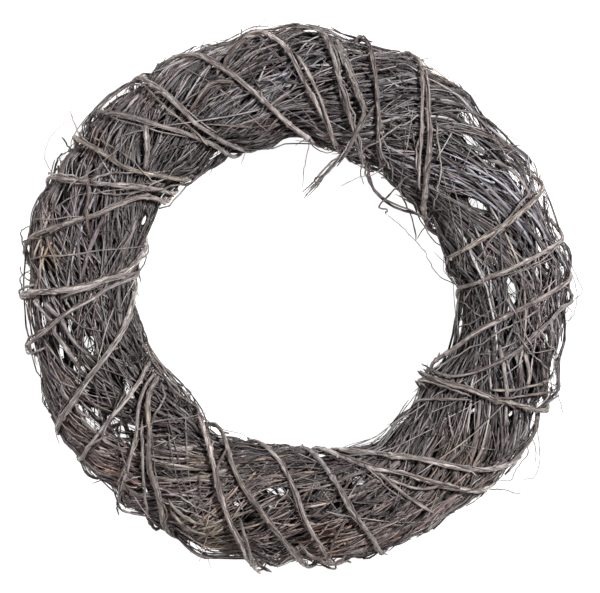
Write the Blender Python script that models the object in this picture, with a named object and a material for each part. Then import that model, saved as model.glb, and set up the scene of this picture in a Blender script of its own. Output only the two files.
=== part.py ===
# A wicker wreath, 40 cm across, lying on its back.
# Twelve bunches of bare twigs make the ring, and nine canes wound round them hold it together.
# A ring angle is measured in degrees from +X, anticlockwise seen from above.
# A section angle goes round the ring's own section: 0 outward, 90 up, 180 towards the hole.

import math
import random

import bmesh
import bpy
from mathutils import Vector
from mathutils.bvhtree import BVHTree

MM = 0.001
SEED = 41

# Middle of the ring, measured from the middle of the whole wreath's outline.
RING_CENTRE_X = 0.0007
RING_CENTRE_Y = -0.0001

# Inner and outer radius of the twig body in millimetres, every 15 degrees from +X.
BODY_RADII_MM = [
    (117, 195), (112, 193), (109, 191), (108, 188), (109, 190), (110, 189),
    (115, 192), (112, 191), (114, 192), (118, 195), (118, 196), (118, 198),
    (119, 196), (117, 195), (113, 195), (110, 193), (112, 191), (110, 193),
    (110, 192), (115, 192), (119, 189), (114, 192), (109, 195), (117, 194),
]
BODY_HALF_HEIGHT = 0.033
GAP = 0.0003

# Canes, wound from the outer edge over the front to the inner edge.
# Each row is one crossing: its ring angle at the outer edge, on the outer shoulder, on the crest,
# on the inner shoulder and at the inner edge.
CANE_CROSSINGS = [
    (179.6, 179.2, 178, 173.2, 163),
    (170, 165.8, 158.5, 146.6, 142.9),
    (155, 153.1, 149.5, 142.8, 139.5),
    (144.2, 143.9, 143.5, 138.4, 131.5),
    (138.8, 134.9, 129.3, 118.9, 114.4),
    (127, 124.6, 122, 115.9, 107.8),
    (118, 110.8, 103.1, 93.3, 82),
    (100, 93.8, 88.6, 80, 72.5),
    (88, 83, 78.3, 68.8, 61.5),
    (76, 72.9, 67.4, 61, 51),
    (65, 59.4, 51.5, 40.2, 29.5),
    (25, 22.6, 18.9, 15.8, 12.8),
    (14, 11, 7.6, 4.5, 1.2),
    (4.8, 1.9, -3, -11.7, -25.5),
    (0.2, -3.5, -15, -27, -29.8),
    (-23.8, -25.4, -27.6, -30, -33.4),
    (-35.5, -42.3, -49.8, -61, -75.5),
    (-43.5, -48.8, -56, -69, -82),
    (-71.2, -72.6, -76, -81.3, -88.5),
    (-81.4, -84.2, -88.9, -94.8, -106),
    (-87.6, -91.3, -100.7, -114.2, -121.5),
    (-99, -102.4, -110.5, -121.8, -132.5),
    (-117.2, -122.4, -133.7, -147.5, -152),
    (-130.6, -133.2, -139.2, -150.3, -155.2),
    (-142.8, -144.3, -147.3, -153.1, -158.4),
    (-150.7, -153.4, -159.1, -169, -182),
    (-169.3, -171.6, -177, -183.9, -188.2),
]
KNOT_SECTIONS = (0, 45, 90, 135, 180)
# One long winding takes every fourth crossing and so comes to all of them; each cane is three turns of it.
CANE_ADVANCE = 4
TURNS_PER_CANE = 3
CANE_COUNT = len(CANE_CROSSINGS) // TURNS_PER_CANE
CANE_RADII = [0.0019, 0.0018, 0.0017, 0.0018, 0.0020, 0.0018, 0.0019, 0.0017, 0.0016]
CANE_TAPER = 0.12
CANE_SIDES = 5
CANE_STEP = 20
CANE_LOOSE = 0.0010
DRAW_IN_STEP = 0.0001
CANE_FIRST = -60
CANE_LAST = 360 * TURNS_PER_CANE - 84

# Height of the section's middle: low enough that the underside of every cane is pressed flat at z = 0.
SECTION_HEIGHT = 0.0352

# Broken cane at the top: hand-chosen points in millimetres from the ring's middle.
BROKEN_RADIUS = 0.0020
BROKEN_SIDES = 6
# On the body each row is a ring angle, a section angle and a rise in millimetres.
BROKEN_ON_BODY = [(81.6, 36, 0), (79.2, 56, 0), (76.2, 75, 0), (73, 90, 0.5), (70.3, 103, 3.5), (70.6, 128, 5.5)]
BROKEN_IN_HOLE_MM = [(34, 102, 69), (26, 95, 65), (16, 84, 60), (6, 72, 57)]

# Twig bunches.
BUNCH_COUNT = 12
BUNCH_ANGLE = 360 / BUNCH_COUNT
CORE_DEPTH = 0.0056
CORE_SIDES = 12
CORE_STEPS = 2
TWIG_DEPTH = 0.0005
TWIG_STEPS = 3
TWIG_SLANT = 1.3
LAID_TWIGS = 12
LAID_RADIUS = (0.0050, 0.0076)
LAID_FOOT = 0.0084
CROSSING_TWIGS = 4
CROSSING_RADIUS = (0.0022, 0.0030)
SPRIGS = 2
SPRIG_RADIUS = 0.0011
SPRIG_LENGTH = (0.012, 0.022)
SPRIG_CLEARANCE = 0.0055
FLAT_ANGLE = math.radians(1)

TWIG_COLOUR = (0.082, 0.071, 0.068, 1)
CANE_COLOUR = (0.29, 0.25, 0.21, 1)
BROKEN_COLOUR = (0.22, 0.19, 0.165, 1)


def clear_scene():
    for item in list(bpy.data.objects):
        bpy.data.objects.remove(item)


def make_material(name, colour, roughness):
    material = bpy.data.materials.new(name)
    material.use_nodes = True
    shader = material.node_tree.nodes["Principled BSDF"]
    shader.inputs["Base Color"].default_value = colour
    shader.inputs["Roughness"].default_value = roughness
    shader.inputs["Metallic"].default_value = 0
    return material


# Ring and section geometry

def body_radii(angle):
    # A smooth curve through the rows, so that the outline has no corners.
    count = len(BODY_RADII_MM)
    place = (angle % 360) / 360 * count
    row = int(place) % count
    share = place - int(place)
    found = []
    for column in (0, 1):
        p0, p1, p2, p3 = [BODY_RADII_MM[(row + k) % count][column] for k in (-1, 0, 1, 2)]
        slope1 = (p2 - p0) / 2
        slope2 = (p3 - p1) / 2
        cubic = 2 * p1 - 2 * p2 + slope1 + slope2
        square = 3 * p2 - 3 * p1 - 2 * slope1 - slope2
        found.append((p1 + share * (slope1 + share * (square + share * cubic))) * MM)
    return found


def section_frame(angle, section):
    # Surface point of the twig body with its outward and sideways directions in the radial plane.
    inner, outer = body_radii(angle)
    middle = (inner + outer) / 2
    half_width = (outer - inner) / 2
    ring = math.radians(angle)
    turn = math.radians(section)
    radial = Vector((math.cos(ring), math.sin(ring), 0))
    upward = Vector((0, 0, 1))
    centre = Vector((RING_CENTRE_X, RING_CENTRE_Y, SECTION_HEIGHT)) + radial * middle
    across = radial * (half_width * math.cos(turn))
    point = centre + across + upward * (BODY_HALF_HEIGHT * math.sin(turn))
    outward = radial * (BODY_HALF_HEIGHT * math.cos(turn)) + upward * (half_width * math.sin(turn))
    sideways = upward * (BODY_HALF_HEIGHT * math.cos(turn)) - radial * (half_width * math.sin(turn))
    return point, outward.normalized(), sideways.normalized()


def surface_point(angle, section, height):
    point, outward, _ = section_frame(angle, section)
    return point + outward * height


def smooth_route(points, steps):
    # A curve through hand-chosen points, sampled evenly between each pair.
    ends = [points[0] * 2 - points[1]] + points + [points[-1] * 2 - points[-2]]
    route = []
    for k in range(1, len(ends) - 2):
        p0, p1, p2, p3 = ends[k - 1:k + 3]
        for step in range(steps):
            t = step / steps
            bend = (p0 * 2 - p1 * 5 + p2 * 4 - p3) * (t * t) + (p1 * 3 - p0 - p2 * 3 + p3) * (t ** 3)
            route.append((p1 * 2 + (p2 - p0) * t + bend) / 2)
    route.append(ends[-2])
    return route


# Mesh helpers

def tube_mesh(name, rings):
    # Skins a row of polygon sections and caps both ends.
    mesh_data = bmesh.new()
    rows = [[mesh_data.verts.new(point) for point in ring] for ring in rings]
    sides = len(rings[0])
    for lower, upper in zip(rows, rows[1:]):
        for k in range(sides):
            after = (k + 1) % sides
            mesh_data.faces.new((lower[k], lower[after], upper[after], upper[k]))
    mesh_data.faces.new(list(reversed(rows[0])))
    mesh_data.faces.new(rows[-1])
    bmesh.ops.triangulate(mesh_data, faces=mesh_data.faces[:])
    bmesh.ops.recalc_face_normals(mesh_data, faces=mesh_data.faces[:])
    mesh = bpy.data.meshes.new(name)
    mesh_data.to_mesh(mesh)
    mesh_data.free()
    return mesh


def place_object(name, mesh, collection):
    item = bpy.data.objects.new(name, mesh)
    collection.objects.link(item)
    return item


def keep_main_body(mesh):
    # A hollow sealed by fusing is filled and a loose scrap is dropped: only the largest body stays.
    mesh_data = bmesh.new()
    mesh_data.from_mesh(mesh)
    waiting = set(mesh_data.faces)
    bodies = []
    while waiting:
        grown = [waiting.pop()]
        body = []
        while grown:
            face = grown.pop()
            body.append(face)
            for edge in face.edges:
                for neighbour in edge.link_faces:
                    if neighbour in waiting:
                        waiting.remove(neighbour)
                        grown.append(neighbour)
        bodies.append(body)
    bodies.sort(key=lambda body: sum(face.calc_area() for face in body))
    spare = [face for body in bodies[:-1] for face in body]
    bmesh.ops.delete(mesh_data, geom=spare, context="FACES")
    bmesh.ops.dissolve_limit(
        mesh_data, angle_limit=FLAT_ANGLE, verts=mesh_data.verts[:], edges=mesh_data.edges[:]
    )
    bmesh.ops.triangulate(mesh_data, faces=mesh_data.faces[:])
    mesh_data.to_mesh(mesh)
    mesh_data.free()


def fuse(core, collection):
    # One union joins the twigs to their core, and the twigs' own objects then go.
    union = core.modifiers.new("fuse", "BOOLEAN")
    union.operation = "UNION"
    union.operand_type = "COLLECTION"
    union.collection = collection
    union.solver = "MANIFOLD"
    bpy.context.view_layer.update()
    seen = core.evaluated_get(bpy.context.evaluated_depsgraph_get())
    mesh = bpy.data.meshes.new_from_object(seen)
    core.modifiers.clear()
    core.data = mesh
    for item in list(collection.objects):
        bpy.data.objects.remove(item)
    bpy.data.collections.remove(collection)
    keep_main_body(mesh)


# Canes

def cane_angle(section):
    # Ring angle of the winding after this much turning.
    # The curve through its crossings never turns back, so neighbouring canes never meet.
    def place(number):
        turn, knot_of_turn = divmod(number, len(KNOT_SECTIONS))
        return 360 * turn + KNOT_SECTIONS[knot_of_turn]

    def knot(number):
        turn, knot_of_turn = divmod(number, len(KNOT_SECTIONS))
        circuit, row = divmod(CANE_ADVANCE * turn, len(CANE_CROSSINGS))
        return CANE_CROSSINGS[row][knot_of_turn] - 360 * circuit

    def slope(number):
        span_before = place(number) - place(number - 1)
        span_after = place(number + 1) - place(number)
        before = (knot(number) - knot(number - 1)) / span_before
        after = (knot(number + 1) - knot(number)) / span_after
        near = (2 * span_after + span_before) / before
        far = (span_after + 2 * span_before) / after
        return 3 * (span_before + span_after) / (near + far)

    turn = math.floor(section / 360)
    number = len(KNOT_SECTIONS) * turn
    while place(number + 1) <= section:
        number += 1
    span = place(number + 1) - place(number)
    t = (section - place(number)) / span
    rise = t * t * (3 - 2 * t)
    lean = (slope(number) * t * (1 - t) ** 2 - slope(number + 1) * (1 - t) * t * t) * span
    return knot(number) * (1 - rise) + knot(number + 1) * rise + lean


def cane_route(number):
    # Ring and section angles along one cane.
    skipped = 360 * TURNS_PER_CANE * number
    sections = range(skipped + CANE_FIRST, skipped + CANE_LAST + 1, CANE_STEP)
    return [(cane_angle(section), section) for section in sections]


def cane_centres(number, drawn_in):
    height = CANE_RADII[number] + CANE_LOOSE - drawn_in
    return [surface_point(angle, section, height) for angle, section in cane_route(number)]


def rounded_rings(centres, outwards, radius_at, sides):
    # Polygon sections square to the route, each with one flat side turned outward.
    rings = []
    for k, centre in enumerate(centres):
        ahead = centres[min(k + 1, len(centres) - 1)] - centres[max(k - 1, 0)]
        along = ahead.normalized()
        outward = (outwards[k] - along * outwards[k].dot(along)).normalized()
        across = along.cross(outward)
        radius = radius_at(k / (len(centres) - 1))
        ring = []
        for side in range(sides):
            turn = math.tau * (side + 0.5) / sides
            ring.append(centre + (outward * math.cos(turn) + across * math.sin(turn)) * radius)
        rings.append(ring)
    return rings


def rest_flat(rings):
    # What would reach below the surface that the wreath lies on is pressed flat.
    for ring in rings:
        for point in ring:
            point.z = max(point.z, 0)


def meets(rings, solids):
    # True where the faces of a tube cut through the solids.
    points = [point for ring in rings for point in ring]
    sides = len(rings[0])
    faces = []
    for row in range(len(rings) - 1):
        for side in range(sides):
            corners = (side, (side + 1) % sides)
            near, after = [row * sides + corner for corner in corners]
            faces.append((near, after, after + sides))
            faces.append((near, after + sides, near + sides))
    return bool(BVHTree.FromPolygons(points, faces).overlap(solids))


def draw_in(rings_at, solids):
    # Lowers a tube step by step until only the gap is left between it and what it lies on.
    drawn_in = 0
    while not meets(rings_at(drawn_in + DRAW_IN_STEP, GAP), solids):
        drawn_in += DRAW_IN_STEP
    return rings_at(drawn_in, 0)


def solids_of(items):
    points = []
    faces = []
    for item in items:
        first = len(points)
        points += [vertex.co.copy() for vertex in item.data.vertices]
        faces += [[first + corner for corner in face.vertices] for face in item.data.polygons]
    return BVHTree.FromPolygons(points, faces)


def finish_tube(name, rings, colour):
    item = place_object(name, tube_mesh(name, rings), bpy.context.scene.collection)
    item.data.shade_smooth()
    item.data.set_sharp_from_angle(angle=math.radians(80))
    item.data.materials.append(make_material(name, colour, 0.8))
    return item


def make_cane(number, solids):
    outwards = [section_frame(angle, section)[1] for angle, section in cane_route(number)]
    radius = CANE_RADII[number]

    def rings_at(drawn_in, spare):
        centres = cane_centres(number, drawn_in)
        return rounded_rings(centres, outwards, lambda t: radius * (1 - CANE_TAPER * t) + spare, CANE_SIDES)

    rings = draw_in(rings_at, solids)
    rest_flat(rings)
    return finish_tube("binding_cane_%02d" % (number + 1), rings, CANE_COLOUR)


def broken_centres(drawn_in):
    # It lies on the bunch, climbs over two canes and ends free in the hole.
    height = BROKEN_RADIUS + CANE_LOOSE - drawn_in
    points = [surface_point(angle, section, height + up * MM) for angle, section, up in BROKEN_ON_BODY]
    middle = Vector((RING_CENTRE_X, RING_CENTRE_Y, -drawn_in))
    points += [middle + Vector(place) * MM for place in BROKEN_IN_HOLE_MM]
    return smooth_route(points, 2)


def make_broken_cane(solids):
    def rings_at(drawn_in, spare):
        centres = broken_centres(drawn_in)
        outwards = [Vector((0.1, 0.2, 1))] * len(centres)
        return rounded_rings(centres, outwards, lambda t: BROKEN_RADIUS * (1 - 0.2 * t) + spare, BROKEN_SIDES)

    finish_tube("broken_cane", draw_in(rings_at, solids), BROKEN_COLOUR)


# Twig bunches

def section_polygon(angle, section, depth, radius, sides, roll):
    # A small polygon in the radial plane, its first corner pointing out of the bundle.
    point, outward, sideways = section_frame(angle, section)
    middle = point - outward * depth
    corners = []
    for side in range(sides):
        turn = roll + math.tau * side / sides
        corners.append(middle + (outward * math.cos(turn) + sideways * math.sin(turn)) * radius)
    return corners


def core_rings(first, last):
    rings = []
    for step in range(CORE_STEPS + 1):
        angle = first + (last - first) * step / CORE_STEPS
        turns = [360 * side / CORE_SIDES for side in range(CORE_SIDES)]
        rings.append([surface_point(angle, turn, -CORE_DEPTH) for turn in turns])
    return rings


def twig_rings(dice, first, last, section, slant, radius, depth):
    # One three-sided twig that runs round the ring with a slant and wanders a little.
    roll = math.radians(dice.uniform(-22, 22))
    middle = (first + last) / 2
    rings = []
    for step in range(TWIG_STEPS + 1):
        angle = first + (last - first) * step / TWIG_STEPS
        turned = section + slant * (angle - middle) + dice.uniform(-2.5, 2.5)
        sunk = depth + dice.uniform(0, 0.0012)
        rings.append(section_polygon(angle, turned, sunk, radius, 3, roll))
    return rings


def laid_twigs(dice, first, last):
    # Stout twigs laid side by side round the core, their feet sunk into it.
    found = []
    for k in range(LAID_TWIGS):
        section = 360 * (k + dice.uniform(-0.2, 0.2)) / LAID_TWIGS
        radius = dice.uniform(*LAID_RADIUS)
        depth = max(radius + TWIG_DEPTH, LAID_FOOT - radius / 2)
        slant = TWIG_SLANT + dice.uniform(-0.35, 0.35)
        start = first + dice.uniform(0, 0.2)
        end = last - dice.uniform(0, 0.2)
        found.append(twig_rings(dice, start, end, section, slant, radius, depth))
    return found


def crossing_twigs(dice, first, last):
    # Thinner twigs that stray across the others.
    found = []
    for k in range(CROSSING_TWIGS):
        section = 360 * (k + dice.uniform(0.1, 0.9)) / CROSSING_TWIGS
        radius = dice.uniform(*CROSSING_RADIUS)
        slant = dice.choice((-1.2, -0.5, 2.8, 3.4)) + dice.uniform(-0.3, 0.3)
        start = first + dice.choice((0.3, 2, 6))
        end = last - dice.choice((0.3, 2, 6))
        found.append(twig_rings(dice, start, end, section, slant, radius, radius + TWIG_DEPTH))
    return found


def sprig_rings(dice, first, last, kept_clear):
    # A short loose end that stands out of the bunch where no cane passes.
    while True:
        angle = dice.uniform(first + 4, last - 4)
        section = dice.uniform(-35, 60)
        way = dice.choice((-1, 1))
        length = dice.uniform(*SPRIG_LENGTH)
        root = surface_point(angle, section, -0.006)
        bend = surface_point(angle + way * 2, section + dice.uniform(-3, 3), 0.0008)
        ring = math.radians(angle)
        along = Vector((-math.sin(ring), math.cos(ring), 0)) * way
        outward = section_frame(angle, section)[1]
        tip = bend + (along + outward * dice.uniform(0.3, 0.7)).normalized() * length
        reached = [bend.lerp(tip, share) for share in (0, 0.25, 0.5, 0.75, 1)]
        nearest = min((place - point).length for place in reached for point in kept_clear)
        turned = math.degrees(math.atan2(tip.y - RING_CENTRE_Y, tip.x - RING_CENTRE_X))
        inside = abs((turned - (first + last) / 2 + 180) % 360 - 180) < BUNCH_ANGLE / 2 - 1
        if nearest > SPRIG_CLEARANCE and inside:
            break
    centres = [root, bend, tip]
    return rounded_rings(centres, [outward] * 3, lambda t: SPRIG_RADIUS * (1.25 - 0.6 * t), 3)


def make_bunch(number, kept_clear):
    dice = random.Random(SEED + number)
    edge = math.degrees(GAP / 2 / body_radii(0)[0])
    first = number * BUNCH_ANGLE + edge
    last = (number + 1) * BUNCH_ANGLE - edge
    name = "twig_bunch_%02d" % (number + 1)
    core = place_object(name, tube_mesh(name, core_rings(first, last)), bpy.context.scene.collection)
    twigs = laid_twigs(dice, first, last) + crossing_twigs(dice, first, last)
    twigs += [sprig_rings(dice, first, last, kept_clear) for _ in range(SPRIGS)]
    collection = bpy.data.collections.new("twigs")
    for rings in twigs:
        place_object("twig", tube_mesh("twig", rings), collection)
    fuse(core, collection)
    core.data.materials.clear()
    core.data.materials.append(make_material(name, TWIG_COLOUR, 0.9))
    return core


def fine_points(points, steps):
    return [a.lerp(b, step / steps) for a, b in zip(points, points[1:]) for step in range(steps)]


def make_wreath():
    clear_scene()
    kept_clear = fine_points(broken_centres(0), 4)
    for number in range(CANE_COUNT):
        kept_clear += fine_points(cane_centres(number, 0), 4)
    made = [make_bunch(number, kept_clear) for number in range(BUNCH_COUNT)]
    bunches = solids_of(made)
    made += [make_cane(number, bunches) for number in range(CANE_COUNT)]
    make_broken_cane(solids_of(made))


make_wreath()
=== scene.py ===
# Looks of a wicker wreath that lies on its back and is seen from straight above.
# Ring angles run anticlockwise from +X; section angles run 0 outward, 90 up, 180 towards the hole.
import math

import bpy
import numpy as np
from mathutils.kdtree import KDTree
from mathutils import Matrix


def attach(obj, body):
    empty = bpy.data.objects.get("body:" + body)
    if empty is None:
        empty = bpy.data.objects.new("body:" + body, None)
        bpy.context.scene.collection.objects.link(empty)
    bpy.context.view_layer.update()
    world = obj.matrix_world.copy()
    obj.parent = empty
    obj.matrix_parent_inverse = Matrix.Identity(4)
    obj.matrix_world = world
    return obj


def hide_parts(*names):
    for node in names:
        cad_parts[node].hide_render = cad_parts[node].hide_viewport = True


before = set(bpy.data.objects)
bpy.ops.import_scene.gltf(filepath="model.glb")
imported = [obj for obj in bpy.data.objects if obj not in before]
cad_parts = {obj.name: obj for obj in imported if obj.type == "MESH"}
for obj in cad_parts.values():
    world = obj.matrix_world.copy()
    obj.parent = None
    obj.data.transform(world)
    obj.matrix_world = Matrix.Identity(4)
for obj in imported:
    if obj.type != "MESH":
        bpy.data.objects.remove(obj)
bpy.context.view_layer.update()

mm = 0.001
body = "root"
upward = np.array([0.0, 0.0, 1.0])
black = (0, 0, 0)
white = (1, 1, 1)

# The twig body that every piece lies on or in, the same as the solids.
ring = {
    "centre": (0.0007, -0.0001),
    "sectionHeight": 0.0352,
    "halfHeight": 0.033,
    "radiiMm": [  # inner and outer radius every 15 degrees
        (117, 195), (112, 193), (109, 191), (108, 188), (109, 190), (110, 189),
        (115, 192), (112, 191), (114, 192), (118, 195), (118, 196), (118, 198),
        (119, 196), (117, 195), (113, 195), (110, 193), (112, 191), (110, 193),
        (110, 192), (115, 192), (119, 189), (114, 192), (109, 195), (117, 194),
    ],
}

photoView = {
    "width": 600,
    "height": 593,
    "mmPerPixel": 0.72,
    "ringMiddle": (298, 297),   # pixel over the ring's middle
    "distance": 1.8,            # camera above the widest part of the ring
    "sensorMm": 36,
}

palestBark = 0.56       # brighter tones are brought down to this
barkTones = {
    "cream": (0.560, 0.505, 0.400),
    "pale": (0.500, 0.464, 0.436),
    "cane": (0.400, 0.360, 0.341),
    "beige": (0.440, 0.390, 0.352),
    "olive": (0.360, 0.326, 0.276),
    "grey": (0.320, 0.294, 0.284),
    "brown": (0.180, 0.142, 0.128),
    "red": (0.270, 0.212, 0.192),
    "dark": (0.068, 0.051, 0.052),
}


def unit(vectors):
    return vectors / np.maximum(np.linalg.norm(vectors, axis=-1, keepdims=True), 1e-12)


def roundTable(rows, angle):
    # Values given at even steps round the ring, with a smooth curve through them.
    rows = np.asarray(rows, float)
    place = np.mod(angle, 360) / 360 * len(rows)
    row = np.floor(place).astype(int)
    share = (place - row).reshape(place.shape + (1,) * (rows.ndim - 1))
    p0, p1, p2, p3 = [rows[(row + k) % len(rows)] for k in (-1, 0, 1, 2)]
    slope1 = (p2 - p0) / 2
    slope2 = (p3 - p1) / 2
    cubic = 2 * p1 - 2 * p2 + slope1 + slope2
    square = 3 * p2 - 3 * p1 - 2 * slope1 - slope2
    return p1 + share * (slope1 + share * (square + share * cubic))


def bodyRadii(angle):
    found = roundTable(ring["radiiMm"], angle) * mm
    return found[..., 0], found[..., 1]


def bodyPoint(angle, section, height):
    # A point above or below the surface of the twig body, and the way out of the body there.
    angle, section, height = np.broadcast_arrays(
        np.asarray(angle, float), np.asarray(section, float), np.asarray(height, float))
    inner, outer = bodyRadii(angle)
    middle = ((inner + outer) / 2)[..., None]
    half = ((outer - inner) / 2)[..., None]
    turn = np.radians(section)[..., None]
    around = np.radians(angle)
    radial = np.stack([np.cos(around), np.sin(around), np.zeros_like(around)], axis=-1)
    centre = np.array([*ring["centre"], ring["sectionHeight"]])
    out = unit(radial * ring["halfHeight"] * np.cos(turn) + upward * half * np.sin(turn))
    point = centre + radial * (middle + half * np.cos(turn)) + upward * ring["halfHeight"] * np.sin(turn)
    return point + out * height[..., None], out


# Camera first: it looks straight down, with the top of the photo towards +Y.
def makeCamera():
    view = photoView
    scale = view["mmPerPixel"] * mm
    x = (view["width"] / 2 - view["ringMiddle"][0]) * scale + ring["centre"][0]
    y = (view["ringMiddle"][1] - view["height"] / 2) * scale + ring["centre"][1]
    data = bpy.data.cameras.new("photoCamera")
    data.sensor_fit = "HORIZONTAL"
    data.sensor_width = view["sensorMm"]
    data.lens = view["sensorMm"] * view["distance"] / (view["width"] * scale)
    data.dof.use_dof = False
    camera = bpy.data.objects.new("photoCamera", data)
    camera.location = (x, y, ring["sectionHeight"] + view["distance"])
    bpy.context.scene.collection.objects.link(camera)
    bpy.context.scene.camera = camera
    return camera


camera = makeCamera()
eye = np.array(camera.location)
print("camera at", [round(value, 4) for value in camera.location])


def underEye(seen, height):
    # The plan place, at a height, of what the camera sees at a place of the ring's widest level.
    return eye[:2] + (seen - eye[:2]) * ((eye[2] - height) / photoView["distance"])


def frontPoints(placesMm, rise):
    # Points of the front surface that the camera sees at these millimetres from the ring's middle.
    centre = np.array(ring["centre"])
    seen = centre + np.asarray(placesMm, float) * mm
    place = seen
    for _ in range(4):
        away = place - centre
        angle = np.degrees(np.arctan2(away[:, 1], away[:, 0]))
        inner, outer = bodyRadii(angle)
        share = (np.linalg.norm(away, axis=1) - (inner + outer) / 2) / ((outer - inner) / 2)
        section = np.degrees(np.arccos(np.clip(share, -1, 1)))
        points, out = bodyPoint(angle, section, rise)
        place = underEye(seen, points[:, 2:3])
    return points, out


def smoothRoute(points, steps):
    # A curve through given points.
    points = np.asarray(points, float)
    ends = np.vstack([2 * points[0] - points[1], points, 2 * points[-1] - points[-2]])
    t = (np.arange(steps) / steps)[:, None]
    route = []
    for k in range(1, len(ends) - 2):
        p0, p1, p2, p3 = ends[k - 1:k + 3]
        bend = (2 * p0 - 5 * p1 + 4 * p2 - p3) * t ** 2 + (3 * p1 - p0 - 3 * p2 + p3) * t ** 3
        route.append((2 * p1 + (p2 - p0) * t + bend) / 2)
    route.append(ends[-2:-1])
    return np.vstack(route)


def lengthAlong(centres):
    steps = np.linalg.norm(np.diff(centres, axis=0), axis=1)
    return np.concatenate([[0], np.cumsum(steps)])


# Bark: a vertex colour for each twig, streaks along it, weathered patches, pale scars, dark specks
# and fine ridges. The noise runs round the twig and along it.
barkNoise = {  # detail of the noise, and the levels between which it goes from one colour to the other
    "streak": (5.0, 0.38, 0.63), "patch": (3.0, 0.51, 0.59), "scar": (4.0, 0.56, 0.63),
    "speck": (2.0, 0.62, 0.70), "ridge": (6.0,),
}
barkStep = 0.01         # metres along a twig that are one step of the noise


def barkMaterial(name, look):
    material = bpy.data.materials.new(name)
    material.use_nodes = True
    nodes = material.node_tree.nodes
    links = material.node_tree.links
    shader = nodes["Principled BSDF"]
    tone = nodes.new("ShaderNodeAttribute")
    tone.attribute_name = "tone"
    bark = nodes.new("ShaderNodeAttribute")
    bark.attribute_name = "bark"

    def noise(kind):
        mapping = nodes.new("ShaderNodeMapping")
        mapping.inputs["Scale"].default_value = look[kind + "Stretch"]
        links.new(bark.outputs["Vector"], mapping.inputs["Vector"])
        found = nodes.new("ShaderNodeTexNoise")
        found.inputs["Scale"].default_value = 1.0
        found.inputs["Detail"].default_value = barkNoise[kind][0]
        links.new(mapping.outputs["Vector"], found.inputs["Vector"])
        return found.outputs["Fac"]

    def marks(kind, first, last):
        found = nodes.new("ShaderNodeValToRGB")
        for element, level, colour in zip(found.color_ramp.elements, barkNoise[kind][1:], (first, last)):
            element.position = level
            element.color = (*colour, 1)
        links.new(noise(kind), found.inputs["Fac"])
        return found.outputs["Color"]

    def mix(kind, factor, first, second):
        found = nodes.new("ShaderNodeMix")
        found.data_type = "RGBA"
        found.blend_type = kind
        for value, socket in ((factor, "Factor"), (first, "A"), (second, "B")):
            if isinstance(value, tuple):
                found.inputs[socket].default_value = (*value, 1)
            elif isinstance(value, float):
                found.inputs[socket].default_value = value
            else:
                links.new(value, found.inputs[socket])
        return found.outputs["Result"]

    streaks = marks("streak", look["streakDark"], look["streakPale"])
    colour = mix("MULTIPLY", 1.0, tone.outputs["Color"], streaks)
    for kind in ("patch", "scar"):
        changed = mix("MIX", look[kind + "Share"], colour, look[kind + "Colour"])
        colour = mix("MIX", marks(kind, black, white), colour, changed)
    specks = marks("speck", white, look["speckColour"])
    links.new(mix("MULTIPLY", 1.0, colour, specks), shader.inputs["Base Color"])
    ridges = nodes.new("ShaderNodeBump")
    ridges.inputs["Strength"].default_value = look["ridgeStrength"]
    ridges.inputs["Distance"].default_value = look["ridgeDepth"]
    links.new(noise("ridge"), ridges.inputs["Height"])
    links.new(ridges.outputs["Normal"], shader.inputs["Normal"])
    shader.inputs["Roughness"].default_value = look["roughness"]
    shader.inputs["Specular IOR Level"].default_value = look["gloss"]
    return material


def tubeParts(centres, out, radii, sides, dice, lumps):
    # Tubes swept along many routes at once: centres (tubes, stations, 3), radii (tubes, stations).
    count, stations = radii.shape
    along = unit(np.gradient(centres, axis=1))
    out = unit(out - along * np.sum(out * along, axis=-1, keepdims=True))
    across = np.cross(along, out)
    roll = dice.uniform(0, math.tau, (count, 1, 1))
    turns = math.tau * np.arange(sides) / sides + roll
    turns = np.broadcast_to(turns, (count, stations, sides))
    thick = radii[:, :, None] * (1 + lumps * dice.normal(0, 1, (count, stations, sides)))
    offset = np.cos(turns)[..., None] * out[:, :, None] + np.sin(turns)[..., None] * across[:, :, None]
    points = centres[:, :, None] + offset * thick[..., None]
    points[..., 2] = np.maximum(points[..., 2], 0)
    steps = np.linalg.norm(np.diff(centres, axis=1), axis=-1)
    length = np.concatenate([np.zeros((count, 1)), np.cumsum(steps, axis=1)], axis=1)
    seed = dice.uniform(0, 400, (count, 1))
    lengthwise = np.broadcast_to((length / barkStep + seed)[:, :, None], turns.shape)
    bark = np.stack([np.cos(turns), np.sin(turns), lengthwise], axis=-1)
    start = (np.arange(count) * stations * sides)[:, None, None]
    row = (np.arange(stations - 1) * sides)[None, :, None]
    side = np.arange(sides)[None, None, :]
    after = (side + 1) % sides
    corners = [start + row + corner for corner in (side, after, after + sides, side + sides)]
    walls = np.stack(np.broadcast_arrays(*corners), axis=-1).reshape(-1, 4)
    first = (start[:, 0] + np.arange(sides)[::-1]).reshape(count, sides)
    last = (start[:, 0] + (stations - 1) * sides + np.arange(sides)).reshape(count, sides)
    return points.reshape(-1, 3), bark.reshape(-1, 3), [walls, first, last]


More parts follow.
